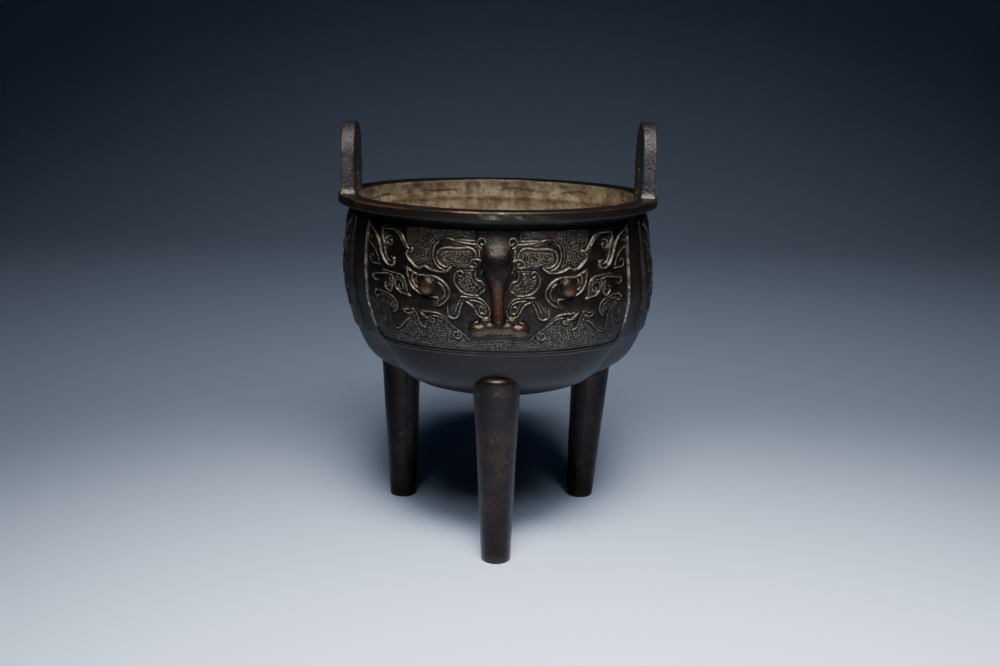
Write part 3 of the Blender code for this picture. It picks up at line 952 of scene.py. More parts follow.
    def rim_scratches(self, radius: np.ndarray, height: np.ndarray, angle: np.ndarray) -> np.ndarray:
        """Give the pale scratches on the front of the rim's edge.

        Args:
            radius: Each vertex's radius on the turned form.
            height: Each vertex's height.
            angle: Each vertex's angle.

        Returns:
            One value for each vertex.
        """
        s = self.shape
        edge = (radius > s.rim_radius - 0.0006) & (height > s.lip_foot + 0.0006)
        across = angle * s.rim_radius + (height - s.rim_height) * 1.2
        streak = lumps(np.stack((across, height * 1.4, radius), axis=1), 0.0028, 31)
        return edge * bump(angle, 0.05, 0.13) * (0.06 + 0.55 * ramp(streak, 0.15, 0.55))


# The mask panels

@dataclass(frozen=True)
class Thread:
    """A raised thread of the drawing, in millimetres on the flattened panel."""

    line: tuple[Point, ...]
    width: float = 0.95
    rise: float = 0.55
    pale: float = 1.0


@dataclass(frozen=True)
class Ground:
    """A sunk ground of the drawing, filled with border lines and small spirals."""

    edge: tuple[Point, ...]
    lines: int = 2
    strength: float = 1.0
    worn: float = 0.0


def thread(*line: Point, width: float = 0.95, rise: float = 0.55, pale: float = 1.0) -> Thread:
    """Note a thread by its points."""
    return Thread(line, width, rise, pale)


def volute(centre: Point, outer: float, inner: float, turns: float, start: float,
           width: float = 0.85) -> Thread:
    """Note a thread that winds in to a centre.

    Args:
        centre: The middle of the winding.
        outer: The radius at its start.
        inner: The radius at its end.
        turns: Its turns, negative for clockwise.
        start: Its first angle in degrees.
        width: The thread's width.

    Returns:
        The thread.
    """
    line = []
    count = int(abs(turns) * 10) + 2
    for i in range(count):
        t = i / (count - 1)
        angle = math.radians(start + 360 * turns * t)
        r = outer + (inner - outer) * t
        line.append((centre[0] + r * math.cos(angle), centre[1] + r * math.sin(angle)))
    return Thread(tuple(line), width, 0.5)


# Up the nose: height, half width, share of the full rise, and how pointed the section is
NOSE_STATIONS = ((60.6, 6.4, 0.05, 0.2), (58.0, 6.8, 0.14, 0.2), (54.8, 7.0, 0.34, 0.1),
                 (52.0, 7.2, 0.66, 0.1), (49.2, 7.4, 0.94, 0.1), (46.2, 7.4, 1.04, 0.1),
                 (42.4, 6.9, 0.98, 0.2), (39.0, 5.5, 0.84, 0.3), (35.0, 4.0, 0.68, 0.3),
                 (31.0, 3.2, 0.58, 0.3), (26.4, 2.8, 0.56, 0.3), (22.0, 3.1, 0.66, 0.3),
                 (19.4, 3.9, 0.82, 0.2), (15.0, 4.8, 0.94, 0.1))

# The muzzle's swellings: middle, half width, half height, rise, and how square each is
MUZZLE = (
    ((9.6, 13.5), 5.3, 4.0, 4.3, 2.2),
    ((0.0, 14.6), 10.5, 3.5, 3.9, 2.6),
    ((6.3, 17.2), 3.6, 3.0, 2.6, 2.0),
)

BROW = (
    volute((7.2, 55.5), 3.1, 0.8, 1.4, 200),
    thread((5.3, 53.6), (6.6, 51.5), (6.9, 49.0), (6.4, 46.5), (5.6, 44.6), (6.3, 42.8), (7.6, 41.6)),
    thread((8.4, 52.4), (8.5, 50.0), (8.0, 47.3), (7.2, 45.6)),
    thread((9.8, 54.6), (12.5, 54.6), (16.0, 55.1), (20.0, 55.7), (23.0, 56.6), (24.9, 57.0), width=1.15,
           rise=0.65),
    thread((10.4, 56.2), (13.0, 56.0), (17.0, 56.3), (20.5, 56.4), width=0.8, rise=0.4),
    thread((9.9, 47.2), (10.1, 49.6), (11.2, 51.6), (13.6, 52.9), (17.0, 52.6), (20.5, 52.3),
           (24.5, 52.4), (27.3, 51.8), (29.0, 50.0), (29.3, 47.4), (28.2, 45.2), (26.2, 43.7),
           (24.0, 43.2), (22.6, 43.9)),
    thread((7.2, 46.6), (9.0, 47.4), (11.4, 47.3), (13.0, 46.0), (12.9, 44.4), (11.2, 43.8), (9.9, 44.6),
           (10.3, 45.7), (11.3, 45.6), width=0.85),
    thread((28.8, 55.0), (30.6, 53.3), (31.3, 50.6), (31.2, 47.4), (30.2, 44.8), (28.2, 42.7),
           (25.6, 41.9), (23.4, 42.4), (22.2, 43.5), width=0.85, rise=0.45),
    thread((22.1, 43.2), (24.2, 41.5), (27.0, 40.9), (30.2, 41.0), (33.2, 41.8), (36.0, 43.0),
           (38.0, 41.9), (40.5, 42.3), (43.0, 43.9), (45.4, 46.4), (45.9, 48.6), (44.6, 50.2),
           (42.8, 50.6), (42.9, 49.2), (44.0, 48.6), width=1.15, rise=0.7),
)

HORN = (
    thread((45.2, 50.4), (46.9, 52.3), (48.4, 54.8), (50.6, 57.2), (53.6, 58.5), (57.5, 58.9),
           (62.6, 58.8), width=1.15, rise=0.65),
    thread((47.0, 51.0), (49.5, 54.0), (52.0, 56.8), (55.0, 57.9), width=0.75, rise=0.35),
    thread((56.0, 55.4), (58.6, 55.2), (60.2, 53.8), (59.6, 51.9), (57.4, 51.2), (55.6, 52.2),
           (56.2, 53.6), (58.0, 53.4), width=0.85, rise=0.45),
    thread((63.2, 58.6), (63.4, 56.0), (62.0, 53.2), (60.4, 50.6), width=1.2),
    thread((74.5, 59.3), (70.5, 57.3), (67.6, 55.0), (65.3, 52.0), (63.8, 49.0), (62.3, 46.0),
           (60.4, 43.4), (57.6, 41.6), (55.0, 41.6), (53.3, 43.0), (53.6, 44.8), (55.4, 45.6), width=1.5,
           rise=0.85),
    thread((61.2, 50.0), (60.0, 46.8), (58.0, 44.0), (56.0, 43.2), width=0.8, rise=0.4),
    thread((73.6, 50.6), (70.4, 49.2), (67.4, 47.2), (65.4, 44.6), (64.0, 41.6), width=1.0),
    thread((63.0, 40.8), (66.0, 40.9), (69.4, 41.0), (71.4, 42.4), (71.2, 44.2), (69.4, 44.8),
           (68.2, 43.8), width=0.95),
    thread((71.0, 53.8), (74.0, 53.6), (76.6, 54.4), width=0.95, rise=0.5),
)

SCROLLS = (
    thread((43.4, 27.6), (44.8, 28.6), (45.6, 31.0), (46.2, 34.0), (47.8, 36.6), (50.6, 37.8),
           (55.0, 38.2), (61.5, 38.4), rise=0.6),
    thread((47.4, 30.0), (47.2, 32.6), (48.4, 35.0), (50.6, 36.1), (53.4, 36.2), width=0.8, rise=0.45),
    thread((51.6, 35.2), (49.0, 34.6), (47.8, 32.4), (49.0, 30.4), (50.6, 31.2), (49.8, 32.8),
           width=0.85),
    thread((43.8, 27.4), (46.4, 28.4), (49.4, 28.8), (51.6, 30.2), (52.6, 32.6), (52.4, 35.0), width=1.15,
           rise=0.7),
    thread((54.2, 36.0), (54.0, 33.0), (55.0, 30.4), (56.6, 28.0), (57.4, 28.4), (59.2, 30.2),
           (59.6, 32.0), (58.4, 32.8), width=1.15, rise=0.7),
    thread((54.4, 36.2), (57.0, 37.2), (61.0, 36.9), (64.8, 36.2), (67.6, 35.6), rise=0.6),
    thread((56.4, 35.6), (55.6, 33.4), (56.6, 31.2), (58.2, 31.6), width=0.8),
    thread((64.6, 33.4), (66.6, 33.0), (68.6, 34.2), (68.4, 36.0), width=1.15),
    thread((55.6, 18.0), (53.6, 19.4), (52.4, 21.2), (52.6, 23.8), (54.6, 25.8), (58.0, 27.1),
           (62.0, 28.0), (65.2, 28.1), (67.4, 27.2), (67.8, 25.6), (66.4, 24.7), (64.9, 25.6), width=1.05,
           rise=0.55, pale=0.8),
    thread((55.4, 19.4), (54.2, 21.4), (54.9, 23.6), (57.4, 25.3), (61.0, 26.5), (63.6, 26.4), width=0.75,
           rise=0.4),
    thread((55.8, 23.0), (56.6, 21.6), (55.6, 20.6), width=0.75, rise=0.4),
    thread((57.8, 19.6), (58.2, 16.4), (57.6, 13.0), (56.6, 10.4), width=0.75, rise=0.3, pale=0.5),
    thread((60.6, 17.6), (62.6, 15.4), (62.4, 12.6), (60.8, 11.8), width=0.8, rise=0.3, pale=0.5),
    thread((65.4, 21.4), (67.4, 19.2), (67.2, 16.4), (65.2, 15.0), (67.6, 13.2), width=0.8, rise=0.3,
           pale=0.45),
)

JAW = (
    thread((14.4, 8.4), (17.8, 11.4), (21.3, 14.6), (24.8, 17.8), (28.8, 20.3), (33.0, 21.0),
           (37.0, 20.9), (39.6, 21.1), width=1.0, rise=0.6),
    thread((17.0, 10.4), (20.5, 13.0), (24.0, 16.2), (27.8, 18.8), (32.0, 19.2), (36.0, 18.9),
           (39.0, 20.6), width=0.8, rise=0.5),
    thread((33.5, 17.6), (36.6, 18.4), (39.4, 20.8), width=1.15, rise=0.65),
    volute((20.8, 10.6), 2.6, 0.5, 1.6, 100),
    volute((32.6, 17.0), 1.8, 0.4, -1.2, 90, 0.75),
    thread((36.6, 12.6), (38.6, 13.4), (39.8, 16.0), (40.8, 19.0), (42.4, 21.2), (44.2, 21.6), rise=0.5),
    thread((42.6, 20.0), (44.6, 19.0), (47.0, 18.9), (48.2, 20.0), (46.8, 20.9), (45.0, 20.6), width=1.05,
           rise=0.6),
)

EYE = (
    thread((30.2, 24.2), (27.2, 25.2), (24.6, 27.4), (22.9, 30.2), (23.0, 32.6), (24.7, 35.0),
           (27.6, 37.2), (31.2, 38.4), (35.4, 38.5), (39.0, 38.5), (42.4, 39.8), (45.2, 41.6), width=1.05,
           rise=0.75),
    thread((27.6, 27.4), (25.4, 29.6), (25.2, 32.0), (26.6, 34.2), (29.0, 35.8), width=0.8, rise=0.45),
    thread((45.2, 41.4), (44.8, 38.0), (43.8, 34.6), (41.8, 31.8), (38.8, 29.9), (36.6, 29.5), width=1.05,
           rise=0.7),
    thread((42.4, 39.2), (42.2, 36.0), (40.6, 33.0), (38.8, 31.6), width=0.85, rise=0.5),
    thread((39.6, 38.0), (40.4, 36.0), (39.4, 34.4), width=0.8, rise=0.4),
    thread((30.2, 24.4), (28.8, 26.4), (28.6, 28.0), (31.0, 28.4), (33.2, 28.6), width=0.95, rise=0.55),
)

CHEEK = (
    thread((15.6, 28.9), (17.2, 26.0), (18.4, 22.6), (19.4, 19.9), (21.4, 18.7), (23.8, 19.6),
           (24.2, 21.6), (24.0, 24.6), width=0.85),
    thread((17.4, 28.0), (19.4, 25.0), (20.6, 22.2), (21.8, 20.6), width=0.75, rise=0.4),
    thread((17.8, 29.6), (13.0, 29.6), (8.4, 29.0), (5.4, 26.6), (4.0, 23.4), (4.6, 20.6), (6.6, 19.9),
           (8.8, 20.6), (10.2, 22.6), (11.4, 24.8), (13.4, 26.6), (15.2, 27.4), width=0.95, rise=0.6),
    thread((14.0, 28.0), (10.0, 27.9), (7.0, 26.6), (5.7, 24.0), (6.2, 22.0), (8.0, 21.9), (9.0, 23.6),
           (8.4, 25.2), (7.2, 24.8), (7.3, 23.6), width=0.8, rise=0.5),
    thread((5.0, 18.0), (11.0, 17.5), (14.0, 14.5), (14.6, 11.0), width=0.85, rise=0.4),
    thread((10.2, 42.4), (10.2, 40.0), (9.2, 37.8), (7.0, 36.8), (5.9, 34.8), (6.4, 33.0), (7.9, 31.9),
           (8.5, 30.6), width=0.85),
    thread((17.2, 42.2), (19.4, 41.0), (20.4, 38.6), (20.0, 36.0), (18.2, 33.2), (15.6, 31.2),
           (12.0, 30.5), (8.6, 30.5), width=0.85),
    thread((19.2, 41.4), (17.4, 41.8), (16.2, 40.4), (17.2, 39.2), (18.3, 39.8), width=0.8, rise=0.5),
)

BORDER = (
    thread((78.4, 61.5), (77.6, 52.0), (76.8, 40.0), (76.2, 28.0), (75.8, 18.0), (75.2, 12.0),
           (73.4, 7.0), (70.2, 3.2), (66.0, 1.5), width=2.2, rise=0.5, pale=0.22),
    thread((-2.0, 2.0), (14.0, 2.0), (30.0, 1.95), (46.0, 1.9), (58.0, 1.9), (66.5, 2.2), width=0.6,
           rise=0.25, pale=0.3),
)

# Three of the cheek's grounds follow the threads around them
GROUNDS = (
    Ground(((10.0, 58.5), (13.0, 62.5), (45.0, 62.5), (47.5, 57.5), (46.0, 52.0), (45.8, 48.5),
            (45.5, 46.5), (42.0, 43.0), (38.0, 42.0), (36.0, 43.3), (33.0, 42.0), (30.0, 41.2),
            (28.5, 42.3), (30.5, 45.5), (31.2, 49.0), (30.8, 52.5), (28.5, 54.8), (25.5, 56.6),
            (20.0, 56.6), (12.0, 55.6), (10.5, 56.5)), 3),
    Ground(((10.2, 46.5), (10.3, 49.5), (11.5, 51.8), (14.0, 52.8), (20.0, 52.6), (25.0, 52.3),
            (28.0, 51.0), (29.2, 48.5), (28.6, 46.0), (26.5, 44.3), (23.5, 43.6), (21.5, 44.2),
            (18.0, 43.6), (14.0, 43.8), (12.0, 43.2), (9.0, 43.5), (8.0, 45.0)), 2),
    Ground(((10.2, 43.4), *CHEEK[5].line[1:7], *CHEEK[6].line[:0:-1], (17.0, 42.6)), 2),
    Ground(CHEEK[2].line, 1, 0.6),
    Ground((*CHEEK[0].line[:7], (23.0, 24.0), (20.0, 26.5)), 1, 0.6),
    Ground(((-1.0, 3.0), (-1.0, 9.0), (9.0, 8.5), (14.5, 8.6), (18.0, 11.8), (21.5, 15.0), (25.0, 18.3),
            (29.0, 20.4), (34.0, 19.5), (36.0, 17.0), (38.0, 13.5), (40.0, 17.0), (42.0, 20.6),
            (45.5, 20.0), (47.0, 15.0), (49.5, 11.5), (54.0, 9.2), (60.0, 8.6), (66.0, 10.0),
            (71.0, 12.0), (73.0, 9.0), (70.0, 4.5), (64.0, 3.0)), 2),
    Ground(((58.5, 19.5), (58.0, 14.0), (58.5, 9.0), (66.0, 8.0), (72.0, 11.0), (72.8, 18.0),
            (72.0, 24.0), (68.5, 24.2), (64.0, 24.4), (59.5, 23.0)), 1, 0.65, 0.6),
    Ground(((54.2, 22.0), (55.0, 24.6), (60.0, 26.6), (65.0, 26.4), (66.0, 24.0), (61.0, 21.0),
            (57.5, 18.0)), 1, 0.8, 0.3),
    Ground(((55.0, 52.0), (56.0, 55.5), (59.0, 56.0), (62.0, 58.0), (66.0, 54.0), (64.0, 50.0),
            (62.0, 46.0), (59.5, 43.0), (56.0, 42.0), (54.0, 43.5), (55.5, 45.5), (58.0, 46.5),
            (57.5, 49.0)), 2),
    Ground(((38.5, 38.2), (43.8, 40.0), (43.5, 36.0), (41.5, 32.5), (39.0, 30.8), (39.5, 35.0)), 1, 0.7),
)

# The strength of each rubbed spot, its middle, its size and how square it is
COPPER_SPOTS = (
    (0.75, (34.8, 32.8), (2.8, 2.5), (2, 2)),
    (0.26, (0.0, 13.4), (15.0, 3.6), (6, 4)),
    (0.35, (9.2, 50.5), (1.0, 3.0), (2, 2)),
    (0.30, (19.0, 54.2), (7.0, 0.8), (2, 2)),
)


class ReliefDrawing:
    """Half of the mask as a map of heights and finishes over the flattened panel, in millimetres."""

    pitch = 0.125
    plain = 0.30
    low = -0.12
    line_pitch = 1.1
    spiral_size = (4.4, 3.9)
    squareness = 3.2
    draws = 64
    eye = (34.3, 33.6)
    eye_radius = 4.6
    eye_rise = 2.9
    nose_rise = 4.0

    def __init__(self) -> None:
        """Draw the map."""
        self.u, self.v = np.meshgrid(np.arange(-3.0, 81.0, self.pitch), np.arange(-2.0, 64.0, self.pitch))
        self.height = np.full(self.u.shape, self.plain)
        self.crust = np.zeros(self.u.shape)
        spirals = self.spirals()
        for ground in GROUNDS:
            self.sink(ground, spirals)
        self.wear_down()
        for part in (BROW, HORN, SCROLLS, JAW, EYE, CHEEK, BORDER):
            for item in part:
                self.raise_thread(item)
        self.raise_eye()
        self.raise_nose()
        self.foot_edge()
        self.warm = self.copper_spots()

    def distance(self, line: np.ndarray, reach: float) -> tuple[tuple[slice, slice], np.ndarray, np.ndarray]:
        """Measure the distance to a line near it.

        Args:
            line: The line's points.
            reach: How far from it the distance is wanted.

        Returns:
            The window of the map, the distance there and the length along the line to the nearest point.
        """
        corner = np.array((self.u[0, 0], self.v[0, 0]))
        low = (line.min(axis=0) - reach - corner) / self.pitch
        high = (line.max(axis=0) + reach - corner) / self.pitch
        cols = slice(max(int(low[0]), 0), max(min(int(high[0]) + 2, self.u.shape[1]), 1))
        rows = slice(max(int(low[1]), 0), max(min(int(high[1]) + 2, self.u.shape[0]), 1))
        window = (rows, cols)
        u, v = self.u[window], self.v[window]
        best = np.full(u.shape, FAR)
        along = np.zeros(u.shape)
        gone = 0.0
        for a, b in zip(line, line[1:]):
            span = b - a
            length = float(np.hypot(*span))
            if length < 1e-9:
                continue
            t = np.clip(((u - a[0]) * span[0] + (v - a[1]) * span[1]) / length ** 2, 0.0, 1.0)
            gap = np.hypot(u - a[0] - t * span[0], v - a[1] - t * span[1])
            nearer = gap < best
            best = np.where(nearer, gap, best)
            along = np.where(nearer, gone + t * length, along)
            gone += length
        return window, best, np.minimum(along, gone - along)

    def raise_thread(self, item: Thread) -> None:
        """Raise one thread with a small groove at each flank, and paint it pale along its crest, partly
        crust and partly a painted highlight.

        Args:
            item: The thread.
        """
        window, gap, end = self.distance(spline(item.line, 8), item.width + 1.2)
        taper = 0.55 + 0.45 * ramp(end, 0.0, 1.6)
        half = item.width / 2 * taper
        ridge = np.cos(np.clip(gap / half, 0.0, 1.0) * math.pi / 2)
        groove = bump(gap, half + 0.30, 0.30)
        part = self.height[window]
        sunk = part - 0.26 * groove * (gap > half * 0.8)
        top = self.plain - 0.10 + item.rise * ridge * (0.7 + 0.3 * taper)
        self.height[window] = np.where(gap < half, np.maximum(part, top), sunk)
        # Pale along the crest and none in the grooves: partly crust, partly a painted highlight of the crest
        pale = 0.9 * item.pale * ridge ** 2.8
        self.crust[window] = np.where(gap < half, np.maximum(self.crust[window] * (1 - ridge), pale),
                                      self.crust[window] * (1 - groove))

    def inside(self, edge: np.ndarray) -> np.ndarray:
        """Tell which cells of the map lie inside a closed line.

        Args:
            edge: The line's points.

        Returns:
            True for each cell inside.
        """
        hit = np.zeros(self.u.shape, dtype=bool)
        for a, b in zip(edge, np.roll(edge, -1, axis=0)):
            if a[1] == b[1]:
                continue
            crossed = (a[1] > self.v) != (b[1] > self.v)
            reach = (b[0] - a[0]) * (self.v - a[1]) / (b[1] - a[1]) + a[0]
            hit ^= crossed & (self.u < reach)
        return hit

    def spirals(self) -> np.ndarray:
        """Give the lines of small squarish spirals that fill a ground.

        Returns:
            1 on a line and 0 between two.
        """
        rng = np.random.default_rng(11)
        wide, tall = self.spiral_size
        count, power = self.draws, self.squareness
        shift = rng.uniform(-0.17, 0.17, (count, count, 2))
        phase = rng.uniform(0.0, 1.0, (count, count))
        hand = np.where(rng.uniform(0, 1, (count, count)) > 0.5, 1.0, -1.0)
        row = np.floor(self.v / tall).astype(int)
        best = np.full(self.u.shape, FAR)
        lines = np.zeros(self.u.shape)
        for dj, di in itertools.product((-1, 0, 1), repeat=2):
            j = row + dj
            stagger = 0.5 * (j % 2)
            i = np.floor(self.u / wide - stagger).astype(int) + di
            own = i % count, j % count
            du = self.u - (i + 0.5 + stagger + shift[own][..., 0]) * wide
            dv = self.v - (j + 0.5 + shift[own][..., 1]) * tall
            r = (np.abs(du / 1.06) ** power + np.abs(dv) ** power) ** (1 / power)
            turn = np.arctan2(dv, du) * hand[own] / (2 * math.pi)
            wave = 0.5 + 0.5 * np.cos(2 * math.pi * (r / 1.05 - turn + phase[own]))
            lines = np.where(r < best, wave, lines)
            best = np.minimum(best, r)
        return lines

    def sink(self, ground: Ground, spirals: np.ndarray) -> None:
        """Sink one ground and fill it with its lines, painted pale on their tops, partly crust and partly a
        painted highlight.

        Args:
            ground: The ground.
            spirals: The spirals' lines over the whole map.
        """
        edge = spline((*ground.edge, ground.edge[0]), 5)
        hit = self.inside(edge[:-1])
        window, gap, _ = self.distance(edge, 1.0)
        q = np.zeros(self.u.shape)
        q[window] = gap
        border = 0.5 + 0.5 * np.cos(2 * math.pi * (q / self.line_pitch - 0.78))
        framed = ground.lines * self.line_pitch
        share = ramp(q, framed - 0.2, framed + 0.2)
        lines = (border * (1 - share) + spirals * share) ** 1.6
        depth = self.low + 0.40 * lines * ground.strength
        depth += (self.plain - 0.12 - depth) * ground.worn
        wall = ramp(q, 0.0, 0.5 + 2.5 * ground.worn)
        sunk = self.plain + (depth - self.plain) * wall
        # Pale on the raised tops of the lines: partly crust, partly a painted highlight
        crust = 0.68 * lines ** 2.6 * ground.strength * wall
        self.height = np.where(hit, np.minimum(self.height, sunk), self.height)
        self.crust = np.where(hit, np.maximum(self.crust, crust), self.crust)

    def wear_down(self) -> None:
        """Rub the lower outer ground towards one level, as handling has."""
        rubbed = ramp(self.u, 44.0, 62.0) * ramp(-self.v, -17.0, -8.0) * 0.5
        rubbed = np.maximum(rubbed, 0.35 * ramp(-self.v, -9.0, -3.0))
        self.height += (0.08 - self.height) * rubbed
        self.crust *= 1 - 0.6 * rubbed
        self.raise_thread(thread((44.6, 17.0), (47.6, 15.2), (50.2, 12.8), (53.0, 10.7), (57.0, 9.7),
                                 width=0.75, rise=0.35))

    def raise_eye(self) -> None:
        """Raise the round eye boss in its socket."""
        gap = np.hypot((self.u - self.eye[0]) / 1.02, self.v - self.eye[1])
        dome = self.eye_rise * np.sqrt(np.clip(1 - (gap / self.eye_radius) ** 2, 0.0, 1.0))
        self.height -= 0.3 * bump(gap, 5.1, 0.5) * (gap > 4.5)
        boss = np.maximum(self.height, self.plain - 0.1 + dome)
        self.height = np.where(gap < self.eye_radius, boss, self.height)
        self.crust *= ramp(gap, 4.3, 5.5)

    def raise_nose(self) -> None:
        """Raise the forehead, the nose ridge and the broad muzzle."""
        level, *widths = spline(NOSE_STATIONS[::-1], 12).T
        half, share, point = (np.interp(self.v, level, width) for width in widths)
        x = np.clip(np.abs(self.u) / half, 0.0, 1.0)
        crown = (1 - point) * np.sqrt(1 - x ** 2) + point * (1 - x) ** 1.3
        nose = self.plain - 0.15 + self.nose_rise * share * crown
        nose = np.where((x < 1) & (self.v > 14.0) & (self.v < 61.5), nose, -9.0)
        body = soft_max(2.2, *(self.ball(*swelling) for swelling in MUZZLE), nose)
        top = self.height
        raised = np.maximum(soft_max(5.0, body, top) - 0.10, np.maximum(body, top))
        self.height = np.where(body > top - 0.6, raised, top) - 0.10 * ramp(body, -2.5, -0.2) * (body < top)
        self.crust *= 1 - 0.85 * np.clip((body - top) * 2.0, 0.0, 1.0)

    def ball(self, centre: Point, across: float, up: float, rise: float, power: float) -> np.ndarray:
        """Give a flattened ball's height, far below zero outside of it."""
        d = (np.abs(self.u - centre[0]) / across) ** power + (np.abs(self.v - centre[1]) / up) ** power
        return np.where(d < 1, rise * np.clip(1 - d, 0.0, 1.0) ** 0.5, -4.0 * (np.minimum(d, 3.0) - 1))

    def foot_edge(self) -> None:
        """Cut two grooves over the panel's lower edge."""
        middle = self.u < 68.0
        self.height -= 0.30 * bump(self.v, 0.95, 0.32) * middle
        self.height -= 0.12 * bump(self.v, 3.0, 0.35) * middle
        # A pale line along the panel's lower edge: a painted highlight of the edge
        self.crust = np.maximum(self.crust, 0.55 * bump(self.v, 0.1, 0.3) * (self.u < 69.0))

    def copper_spots(self) -> np.ndarray:
        """Give the orange-brown rubbed spots.

        Returns:
            One value for each cell of the map.
        """
        warm = 0.52 * np.exp(-(self.u / 2.2) ** 2) * ramp(self.v, 14.0, 22.0) * ramp(-self.v, -42.0, -33.0)
        for strength, centre, size, power in COPPER_SPOTS:
            off = np.abs((self.u - centre[0]) / size[0]) ** power[0]
            off += np.abs((self.v - centre[1]) / size[1]) ** power[1]
            warm = np.maximum(warm, strength * np.exp(-off))
        return warm

    def sample(self, layer: np.ndarray, across: np.ndarray, up: np.ndarray) -> np.ndarray:
        """Read a layer of the map between its cells.

        Args:
            layer: The height, the pale crust with its painted highlight, or the warmth.
            across: Places across the half panel, in millimetres.
            up: Places up the panel, in millimetres.

        Returns:
            One value for each place.
        """
        x = np.clip((across - self.u[0, 0]) / self.pitch, 0, layer.shape[1] - 1.001)
        y = np.clip((up - self.v[0, 0]) / self.pitch, 0, layer.shape[0] - 1.001)
        i, j = x.astype(int), y.astype(int)
        s, t = x - i, y - j
        low = layer[j, i] * (1 - s) + layer[j, i + 1] * s
        high = layer[j + 1, i] * (1 - s) + layer[j + 1, i + 1] * s
        return low * (1 - t) + high * t


